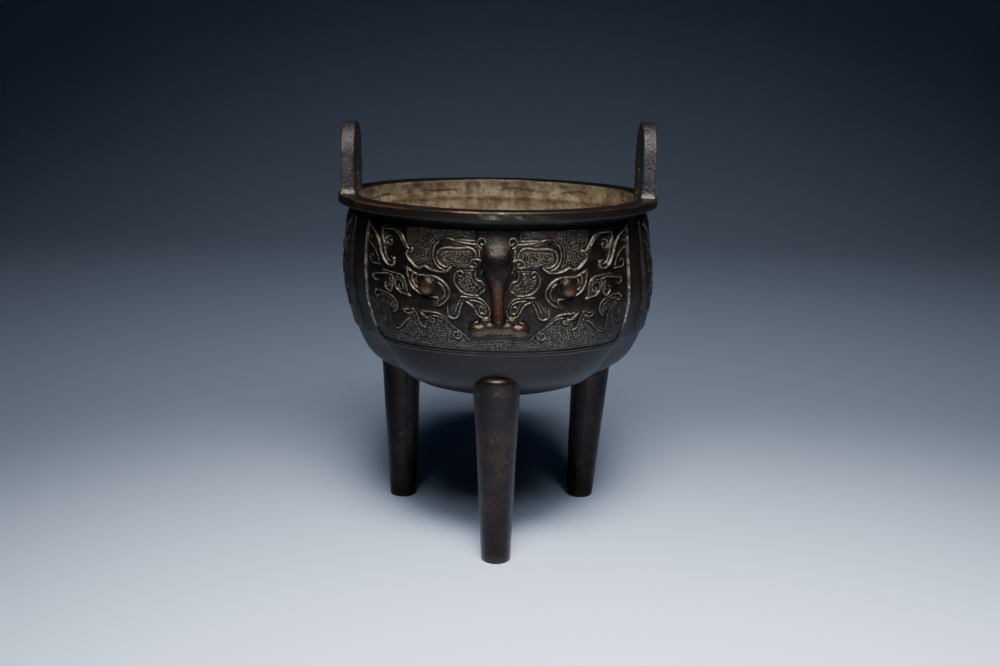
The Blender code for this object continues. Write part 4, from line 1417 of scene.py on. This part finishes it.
@dataclass
class MaskPanels:
    """The three raised panels, each wrapped on a lobe with the mask in relief."""

    shape: BowlShape
    foot_height: float = 0.1135
    half_width: float = 78.4
    tall: float = 61.0
    foot_inset: float = 2.0
    corner: float = 9.0
    raised: float = 0.0008
    sunk: float = 0.0012
    columns: int = 480
    rows: int = 190
    strips: int = 24
    bands: int = 10
    # Strength of the pale border strip and the rubbed edges on the front panel and on the back ones: painted
    # light in front, painted shade behind
    lit_front_strip: float = 0.95
    shaded_back_strip: float = 0.05
    lit_front_edge_wear: float = 0.3
    drift_across: tuple[Layer, ...] = ((0.28, 17.0, 41), (0.10, 6.0, 42))
    drift_up: tuple[Layer, ...] = ((0.28, 15.0, 43), (0.10, 5.0, 44))
    cast: tuple[Layer, ...] = ((0.035, 1.3, 45), (0.06, 4.0, 46))
    drawing: ReliefDrawing = field(default_factory=ReliefDrawing)

    def flat_slab(self) -> bpy.types.Object:
        """Model the flat closed slab that every panel starts from.

        Returns:
            The slab.
        """
        start_alone()
        bpy.ops.mesh.primitive_grid_add(x_subdivisions=self.columns, y_subdivisions=self.rows, size=1.0)
        slab = bpy.context.object
        bpy.ops.object.mode_set(mode="EDIT")
        bpy.ops.mesh.select_all(action="SELECT")
        bpy.ops.mesh.region_to_loop()
        extrude((0.0, 0.0, -0.1))
        bpy.ops.mesh.edge_face_add()
        for axis, strips, cells in ((0, self.strips, self.columns), (1, self.bands, self.rows)):
            for k in range(1, strips):
                bm = bmesh.from_edit_mesh(slab.data)
                for item in bm.faces:
                    item.select_set(item.calc_center_median().z < -0.099)
                bmesh.update_edit_mesh(slab.data)
                cut = round(k * cells / strips) / cells - 0.5
                bpy.ops.mesh.bisect(plane_co=(cut, cut, 0.0), plane_no=(1.0 - axis, float(axis), 0.0))
        finish_edit()
        return slab

    def edge(self, up: np.ndarray) -> np.ndarray:
        """Give the half width at each height, with the rounded lower corners.

        Args:
            up: Places up the panel, in millimetres.

        Returns:
            One half width for each place, in millimetres.
        """
        below = self.corner - np.minimum(up, self.corner)
        short = self.corner - np.sqrt(np.maximum(self.corner ** 2 - below ** 2, 0.0))
        return self.half_width - self.foot_inset * (1 - up / self.tall) - short

    def wrap(self, slab: bpy.types.Object, lobe: int) -> bpy.types.Object:
        """Copy the slab, bend it onto a lobe and raise the mask on it.

        Args:
            slab: The flat slab.
            lobe: The lobe's number, from the front one.

        Returns:
            The panel.
        """
        panel = slab.copy()
        panel.data = slab.data.copy()
        panel.name = f"mask_panel_{lobe}"
        panel.data.name = panel.name
        bpy.context.collection.objects.link(panel)
        flat = read_points(panel)
        up = (flat[:, 1] + 0.5) * self.tall
        across = flat[:, 0] * 2 * self.edge(up)
        place = np.stack((across, up, np.full(len(up), 40.0 * lobe)), axis=1)
        drift = uneven(place, *self.drift_across) * ramp(np.abs(across), 2.0, 9.0)
        u = np.abs(across + drift)
        v = up + uneven(place, *self.drift_up) * ramp(up, 2.5, 6.0) * ramp(self.tall - up, 0.0, 3.0)
        draw = self.drawing
        height, crust, warm = (draw.sample(layer, u, v) for layer in (draw.height, draw.crust, draw.warm))
        height += uneven(place, *self.cast)
        from_edge = np.minimum(np.minimum(self.edge(up) - np.abs(across), up), self.tall + 9 - up)
        height = np.where(from_edge < 0.9, np.minimum(height, 0.32), height)
        height -= 0.35 * ramp(-from_edge, -0.7, 0.0)
        top = flat[:, 2] > -0.05
        lift = np.where(top, self.raised + height * MILLIMETRE, -self.sunk)
        angle = across * MILLIMETRE / self.shape.belly_radius + lobe * 2 * HALF_LOBE
        write_points(panel, self.shape.on_bowl(angle, self.foot_height + up * MILLIMETRE, lift))
        self.dress(panel, lobe, place, from_edge, top, (height, crust, warm))
        return panel

    def dress(self, panel: bpy.types.Object, lobe: int, place: np.ndarray, from_edge: np.ndarray,
              top: np.ndarray, layers: tuple[np.ndarray, np.ndarray, np.ndarray]) -> None:
        """Keep the pale crust with its painted highlight, the wear and the warmth on a panel.

        Args:
            panel: The panel.
            lobe: The lobe's number, from the front one.
            place: Each vertex's place on the flattened panel, in millimetres.
            from_edge: Each vertex's distance from the panel's edge.
            top: Which vertices lie on the face.
            layers: The height, the pale crust with its painted highlight, and the warmth there.
        """
        height, crust, warm = layers
        patch = lumps(place, 7.0, 47)
        # The pale border strip is painted strong on the front panel and faint on the back panels: painted
        # light in front, painted shade behind
        strip = ramp(from_edge, 0.2, 0.9) * ramp(-from_edge, -3.9, -3.2) * ramp(place[:, 1], 3.0, 9.0)
        strip *= self.lit_front_strip if lobe == 0 else self.shaded_back_strip
        crust = np.where(from_edge < 3.4, np.minimum(crust, 0.15), crust)
        crust += strip * (0.7 + 0.8 * lumps(place, 2.2, 48))
        paint(panel, "deposit", np.where(top, crust * (0.80 + 0.30 * patch), 0.2))
        # Rubbed edges only on the front panel and less standing-out rubbing behind: painted light in front,
        # painted shade behind
        edge_wear = ramp(-from_edge, -1.1, -0.3) * (from_edge > -0.1)
        edge_wear = edge_wear * (self.lit_front_edge_wear if lobe == 0 else 0.0)
        stands = convexity(panel, 1) * (1.0 if lobe == 0 else ramp(from_edge, 0.4, 1.4))
        rubbed = 0.45 * np.clip(stands, 0, 1) + 0.5 * np.clip((height - 0.75) * 0.22, 0.0, 0.16)
        rubbed += edge_wear * (0.7 + 0.5 * patch)
        paint(panel, "wear", np.where(top, np.maximum(rubbed, np.minimum(2.4 * warm, 0.65)), rubbed))
        paint(panel, "warm", np.where(top, warm * (0.9 + 0.2 * patch), 0.0))

    def build(self, metal: bpy.types.Material) -> list[bpy.types.Object]:
        """Model the panels.

        Args:
            metal: Their finish.

        Returns:
            The three panels.
        """
        slab = self.flat_slab()
        panels = [self.wrap(slab, lobe) for lobe in range(3)]
        mesh = slab.data
        bpy.data.objects.remove(slab)
        bpy.data.meshes.remove(mesh)
        return [settle(panel, metal) for panel in panels]


# The legs

@dataclass
class Legs:
    """The three tapered legs, one under each lobe."""

    shape: BowlShape
    foot_circle: float = 0.0611
    foot_radius: float = 0.0077
    root_circle: float = 0.0650
    root_radius: float = 0.0117
    root_height: float = 0.1015
    rounding: float = 0.0032
    foot_edge: float = 0.0006
    twist: float = math.radians(1.8)
    sway: float = 0.0009
    steps: int = 72
    cast: tuple[Layer, ...] = ((0.00010, 0.010, 51), (0.00004, 0.0032, 52))
    names: tuple[str, ...] = ("leg_front", "leg_back_right", "leg_back_left")

    def profile(self) -> np.ndarray:
        """Draw a leg's section, from the axis in its root down to the axis in its foot.

        Returns:
            Rows of radius and height.
        """
        root, foot, edge, top = self.root_radius, self.foot_radius, self.foot_edge, self.root_height
        shoulder = top - self.rounding
        wide = 1.5 * self.rounding
        return np.vstack((
            ((0.0, top), (0.002, top)),
            arc((root - wide, shoulder), (wide, self.rounding), (86, 76, 64, 52, 39, 26, 13, 0)),
            np.linspace((root, shoulder), (foot, edge), 62)[1:],
            arc((foot - edge, edge), (edge, -edge), (30, 60, 90)),
            ((foot - 0.0025, 0.0), (0.0, 0.0))))

    def build(self, metal: bpy.types.Material) -> list[bpy.types.Object]:
        """Model the legs.

        Args:
            metal: Their finish.

        Returns:
            The three legs.
        """
        return [self.place(name, index, metal) for index, name in enumerate(self.names)]

    def wall_middle(self, points: np.ndarray) -> np.ndarray:
        """Give the height of the middle of the bowl's wall over each point.

        Args:
            points: Places in space, one row each.

        Returns:
            One height for each place.
        """
        s = self.shape
        rows = s.meridian(s.side_steps)
        rows = rows[rows[:, 1] < s.stations[2][1]]
        along = np.gradient(rows, axis=0)
        along /= np.linalg.norm(along, axis=1)[:, None]
        rows = rows + np.stack((along[:, 1], -along[:, 0]), axis=1) * s.wall / 2
        rows = rows[np.argsort(rows[:, 0])]
        level = np.full(len(points), self.root_height)
        x, y = points[:, 0] - s.sway(level), points[:, 1]
        around = np.hypot(x, y) / s.lobe_factor(np.arctan2(x, -y), level)
        return np.interp(around, rows[:, 0], rows[:, 1])

    def place(self, name: str, index: int, metal: bpy.types.Material) -> bpy.types.Object:
        """Model one leg under its lobe.

        Args:
            name: The leg's name.
            index: The lobe's number, from the front one.
            metal: The leg's finish.

        Returns:
            The leg.
        """
        thing = turned_piece(name, self.profile(), self.steps)
        points = read_points(thing)
        height = points[:, 2].copy()
        radius = np.hypot(points[:, 0], points[:, 1])
        turn = np.arctan2(points[:, 1], points[:, 0])
        own = points + index * 0.31
        skin = ramp(radius, 0.0055, 0.0068) * ramp(height, 0.0, 0.0012)
        push = skin * (uneven(own, *self.cast) + 0.00012 * np.sin(2 * turn + index))
        points[:, :2] *= (1 + push / np.maximum(radius, 0.001))[:, None]
        angle = index * 2 * HALF_LOBE
        foot = np.array((math.sin(angle + self.twist), -math.cos(angle + self.twist))) * self.foot_circle
        root = np.array((math.sin(angle), -math.cos(angle))) * self.root_circle + np.array((self.sway, 0.0))
        points[:, :2] += foot + (root - foot) * (height / self.root_height)[:, None]
        excess = np.maximum(self.root_height - self.wall_middle(points), 0.0)
        points[:, 2] -= excess * ramp(height, 0.6 * self.root_height, self.root_height)
        write_points(thing, points)
        patch = lumps(own, 0.008, 53)
        fleck = lumps(own, 0.0022, 54)
        rings = bump(height, self.root_height - 0.0015, 0.0016) + 0.8 * bump(height, 0.0005, 0.0012)
        paint(thing, "wear", 0.40 * rings + 0.22 * ramp(fleck, 0.45, 0.9) + 0.06)
        dusty = ramp(fleck + 0.3 * patch, 0.80, 1.0)
        paint(thing, "deposit", 0.20 * bump(height, 0.0, 0.003) + 0.25 * dusty)
        paint(thing, "warm", 0.20 * ramp(patch, 0.1, 0.8) + 0.10 * ramp(fleck, 0.2, 0.8))
        return settle(thing, metal)


# The handles

@dataclass
class Handle:
    """An upright loop handle on the rim."""

    side: Side
    rise: float
    rim_height: float = 0.1839
    rim_radius: float = 0.0850
    width: float = 0.0327
    thickness: float = 0.0072
    setback: float = 0.0029
    slot: float = 0.0130
    crown: float = 0.0138
    rounding: float = 0.0008
    flare: float = 0.0013
    flare_height: float = 2.2
    flare_depth: float = 0.16
    embed: float = 0.0025
    straight_steps: int = 22
    arc_steps: int = 48
    cast: tuple[Layer, ...] = ((0.00013, 0.006, 61), (0.00005, 0.0022, 62))
    scar_depth: dict[Side, float] = field(default_factory=lambda: {Side.LEFT: 0.00012, Side.RIGHT: 0.00030})

    def section(self) -> bpy.types.Object:
        """Model the flat rounded section of one post, ready to be drawn out.

        Returns:
            The section.
        """
        start_alone()
        bpy.ops.mesh.primitive_circle_add(vertices=56, radius=1.0, fill_type="NGON")
        thing = bpy.context.object
        points = read_points(thing)
        turn = np.arctan2(points[:, 1], points[:, 0])
        depth = self.thickness / 2
        post = (self.width - self.slot) / 4
        across, along = np.abs(np.cos(turn)), np.abs(np.sin(turn))
        reach = np.minimum(depth / np.maximum(across, 1e-6), post / np.maximum(along, 1e-6))
        x, y = reach * np.cos(turn), reach * np.sin(turn)
        cx = np.clip(x, -depth + self.rounding, depth - self.rounding)
        cy = np.clip(y, -post + self.rounding, post - self.rounding)
        gap = np.hypot(x - cx, y - cy)
        fit = np.where(gap > 1e-9, np.minimum(self.rounding / np.maximum(gap, 1e-9), 1.0), 1.0)
        points[:, 0] = cx + (x - cx) * fit
        points[:, 1] = cy + (y - cy) * fit + self.slot / 2 + post
        points[:, 2] = self.rim_height - self.embed
        write_points(thing, points)
        return thing

    def build(self, metal: bpy.types.Material) -> bpy.types.Object:
        """Model the handle.

        Args:
            metal: Its finish.

        Returns:
            The handle.
        """
        thing = self.section()
        thing.name = f"handle_{self.side.name.lower()}"
        thing.data.name = thing.name
        spring = self.rim_height + self.rise - self.width / 2
        base = self.rim_height - self.embed
        step = (spring - base) / self.straight_steps
        bpy.ops.object.mode_set(mode="EDIT")
        bpy.ops.mesh.select_all(action="SELECT")
        for _ in range(self.straight_steps):
            extrude((0.0, 0.0, step))
        bpy.ops.mesh.spin(steps=self.arc_steps, angle=math.pi, center=(0.0, 0.0, spring),
                          axis=(-1.0, 0.0, 0.0))
        for _ in range(self.straight_steps):
            extrude((0.0, 0.0, -step))
        finish_edit(MERGE, 1)
        self.shape_loop(thing, spring, base)
        return settle(thing, metal)

    def shape_loop(self, thing: bpy.types.Object, spring: float, base: float) -> None:
        """Thicken the crown, flare the feet, and leave the casting's dents and pits.

        Args:
            thing: The plain loop.
            spring: The height at which the outer half-circle begins.
            base: The height of the loop's feet.
        """
        points = read_points(thing)
        x, y, z = points.T.copy()
        inner, outer = self.slot / 2, self.width / 2
        over = z > spring
        reach = np.where(over, np.hypot(y, z - spring), np.abs(y))
        share = np.clip((reach - inner) / (outer - inner), 0.0, 1.0)
        turn = np.where(over, np.arctan2(z - spring, y), np.where(y > 0, 0.0, math.pi))
        slot_top = self.rim_height + self.rise - self.crown - inner
        outer_y, outer_z = outer * np.cos(turn), spring + outer * np.sin(turn)
        inner_y, inner_z = inner * np.cos(turn), slot_top + inner * np.sin(turn)
        fall = np.where(over, 0.0, (spring - z) / (spring - base))
        outer_z -= fall * (spring - base)
        inner_z -= fall * (slot_top - base)
        y_new = inner_y + (outer_y - inner_y) * share
        z_new = inner_z + (outer_z - inner_z) * share
        low = np.clip(1 - (z_new - self.rim_height) / (self.flare_height * self.flare), 0.0, 1.0)
        y_new += np.sign(y_new) * self.flare * low ** 2 * share
        x_new = x * (1 + self.flare_depth * low ** 2)
        points = np.stack((x_new, y_new, z_new), axis=1)
        place = points + (0.5 if self.side is Side.RIGHT else 0.0)
        write_points(thing, points)
        free = ramp(z_new, self.rim_height, self.rim_height + 0.002)
        push = uneven(place, *self.cast)
        push -= self.scar_depth[self.side] * ramp(lumps(place, 0.0030, 63), 0.60, 0.85)
        points += read_normals(thing) * (push * free)[:, None]
        points[:, 0] += self.side.value * (self.rim_radius - self.setback - self.thickness / 2)
        write_points(thing, points)
        stands = convexity(thing, 2)
        patch = lumps(place, 0.006, 64)
        fleck = lumps(place, 0.0018, 65)
        # The band at the foot is painted pale and rubbed: partly dust in the fillet, partly a painted
        # highlight of the fillet
        foot = bump(z_new, self.rim_height + 0.0008, 0.0014)
        paint(thing, "wear", np.clip(stands, 0.0, 1.0) * (0.75 + 0.5 * patch) + 0.45 * foot + 0.06)
        paint(thing, "deposit", 0.5 * foot + 0.25 * ramp(fleck, 0.55, 0.9))
        edges = np.clip(2.2 * stands, 0.0, 1.0)
        paint(thing, "warm", 0.9 * edges * ramp(patch, -0.6, 0.2) + 0.30 * ramp(fleck, 0.2, 0.8))


# The studio

@dataclass(frozen=True)
class SoftBox:
    """One soft light, which shines down when it isn't tilted."""

    name: str
    place: Place
    tilt: float
    size: Point
    watts: float
    spread: float
    colour: Colour = WHITE

    def hang(self) -> None:
        """Hang the light."""
        data = bpy.data.lights.new(self.name, "AREA")
        data.shape = "RECTANGLE"
        data.size, data.size_y = self.size
        data.energy = self.watts
        data.spread = math.radians(self.spread)
        data.color = self.colour
        thing = bpy.data.objects.new(self.name, data)
        thing.location = self.place
        thing.rotation_euler = (math.radians(self.tilt), 0.0, 0.0)
        bpy.context.scene.collection.objects.link(thing)


@dataclass
class Studio:
    """The floor, the lights, the dark surroundings and the camera."""

    focal: float = 39.344
    eye: Place = (0.0, -0.58849, 0.24743)
    pitch: float = 0.2354
    yaw: float = 0.004
    roll: float = 0.0178
    sensor: float = 36.0
    paper: float = 8.0
    sweep_start: float = 1.0
    sweep_radius: float = 1.2
    sweep_rise: float = 1.8
    dark: Colour = (0.0010, 0.0012, 0.0016)
    lights: tuple[SoftBox, ...] = (
        SoftBox("key", (0.06, -0.49, 0.80), 14.0, (0.48, 0.384), 3.75, 40.0),
        SoftBox("key_edge", (0.06, -0.49, 0.80), 36.0, (0.48, 0.384), 1.1, 90.0),
        SoftBox("back_wash", (0.06, -0.81, 1.24), 46.0, (0.744, 0.595), 1.1, 60.0),
        SoftBox("front_card", (0.0, -1.7, 0.28), 88.0, (1.0, 0.4), 1.05, 180.0, (0.90, 0.95, 1.0)),
    )

    def camera(self) -> None:
        """Place the camera at the photograph's viewing angle."""
        data = bpy.data.cameras.new("camera")
        data.lens = self.focal
        data.sensor_width = self.sensor
        data.clip_start = 0.01
        thing = bpy.data.objects.new("camera", data)
        bpy.context.scene.collection.objects.link(thing)
        look = Matrix.Rotation(-self.yaw, 4, "Z") @ Matrix.Rotation(math.pi / 2 - self.pitch, 4, "X")
        thing.matrix_world = Matrix.Translation(self.eye) @ look @ Matrix.Rotation(self.roll, 4, "Z")
        bpy.context.scene.camera = thing

    def floor(self) -> None:
        """Lay the floor and sweep it up behind the burner, so that no horizon shows."""
        start_alone()
        middle = self.sweep_start - self.paper / 2
        bpy.ops.mesh.primitive_plane_add(size=self.paper, location=(0.0, middle, 0.0))
        thing = bpy.context.object
        thing.name = "floor"
        bpy.ops.object.transform_apply(location=True, rotation=False, scale=True)
        bpy.ops.object.mode_set(mode="EDIT")
        bm = bmesh.from_edit_mesh(thing.data)
        for edge in bm.edges:
            edge.select_set(all(abs(v.co.y - self.sweep_start) < 1e-6 for v in edge.verts))
        bmesh.update_edit_mesh(thing.data)
        turns = np.linspace(0.0, math.pi / 2, 49)
        sweep = np.stack((np.zeros_like(turns), np.sin(turns), 1 - np.cos(turns)), axis=1)
        sweep *= self.sweep_radius
        for move in np.diff(sweep, axis=0):
            extrude(move)
        extrude((0.0, 0.0, self.sweep_rise))
        finish_edit()
        smooth(thing)
        thing.data.materials.append(FloorFinish("floor_paper").make())

    def build(self) -> None:
        """Set up the studio."""
        self.camera()
        self.floor()
        for light in self.lights:
            light.hang()
        world = bpy.data.worlds.new("dark_room")
        bpy.context.scene.world = world
        world.use_nodes = True
        world.node_tree.nodes["Background"].inputs["Color"].default_value = (*self.dark, 1.0)


# The finishes of the pieces, and how high each loop stands over the rim

BOWL_BRONZE = BronzeFinish(
    "bowl_bronze", brown_share=0.35, red_share=0.26, scale=70.0, roughness=0.40, metallic=0.45, gloss=0.2,
    grain=0.00010)
PANEL_BRONZE = BronzeFinish(
    "panel_bronze", dark=(0.009, 0.0068, 0.0055), brown=(0.027, 0.0162, 0.0100), red=(0.095, 0.038, 0.019),
    worn=(0.100, 0.062, 0.040), brown_share=0.56, red_share=0.46, scale=130.0, roughness=0.33, polish=0.6,
    grain=0.00030)
LEG_BRONZE = BronzeFinish(
    "leg_bronze", dark=(0.010, 0.0075, 0.0065), brown=(0.024, 0.0135, 0.010), red=(0.075, 0.024, 0.015),
    brown_share=0.60, red_share=0.42, scale=120.0, wear=0.3, deposit=0.35, gloss=0.22, grain=0.00008)
# Lighter and greyer than the other bronze: partly the handles' polish, partly a painted sheen
HANDLE_BRONZE_WITH_SHEEN = BronzeFinish(
    "handle_bronze", dark=(0.034, 0.031, 0.031), brown=(0.058, 0.042, 0.033), red=(0.080, 0.036, 0.022),
    brown_share=0.4, red_share=0.42, scale=120.0, deposit=0.4, roughness=0.30, metallic=0.45, gloss=1.0,
    grain=0.0011, grain_scale=0.55, pits=1.6)
LEFT_RISE = 0.0367
RIGHT_RISE = 0.0385


def main() -> None:
    """Build the studio and every piece of the burner, and report each."""
    logging.basicConfig(level=logging.INFO, format="%(name)s %(message)s")
    Studio().build()
    effects = Effects()
    shape = BowlShape()
    bowl_metal, panel_metal, leg_metal, loop_metal = (
        finish.make(effects) for finish in (BOWL_BRONZE, PANEL_BRONZE, LEG_BRONZE, HANDLE_BRONZE_WITH_SHEEN))
    ash = AshFinish("ashy_inside").make(effects)
    builders: list[tuple[str, Callable[[], object]]] = [
        ("bowl", lambda: Bowl(shape).build(bowl_metal, ash)),
        ("mask panels", lambda: MaskPanels(shape).build(panel_metal)),
        ("legs", lambda: Legs(shape).build(leg_metal)),
        ("left handle", lambda: Handle(Side.LEFT, LEFT_RISE).build(loop_metal)),
        ("right handle", lambda: Handle(Side.RIGHT, RIGHT_RISE).build(loop_metal)),
    ]
    for title, build in builders:
        build()
        LOG.info("%s done", title)


if __name__ == "__main__":
    main()
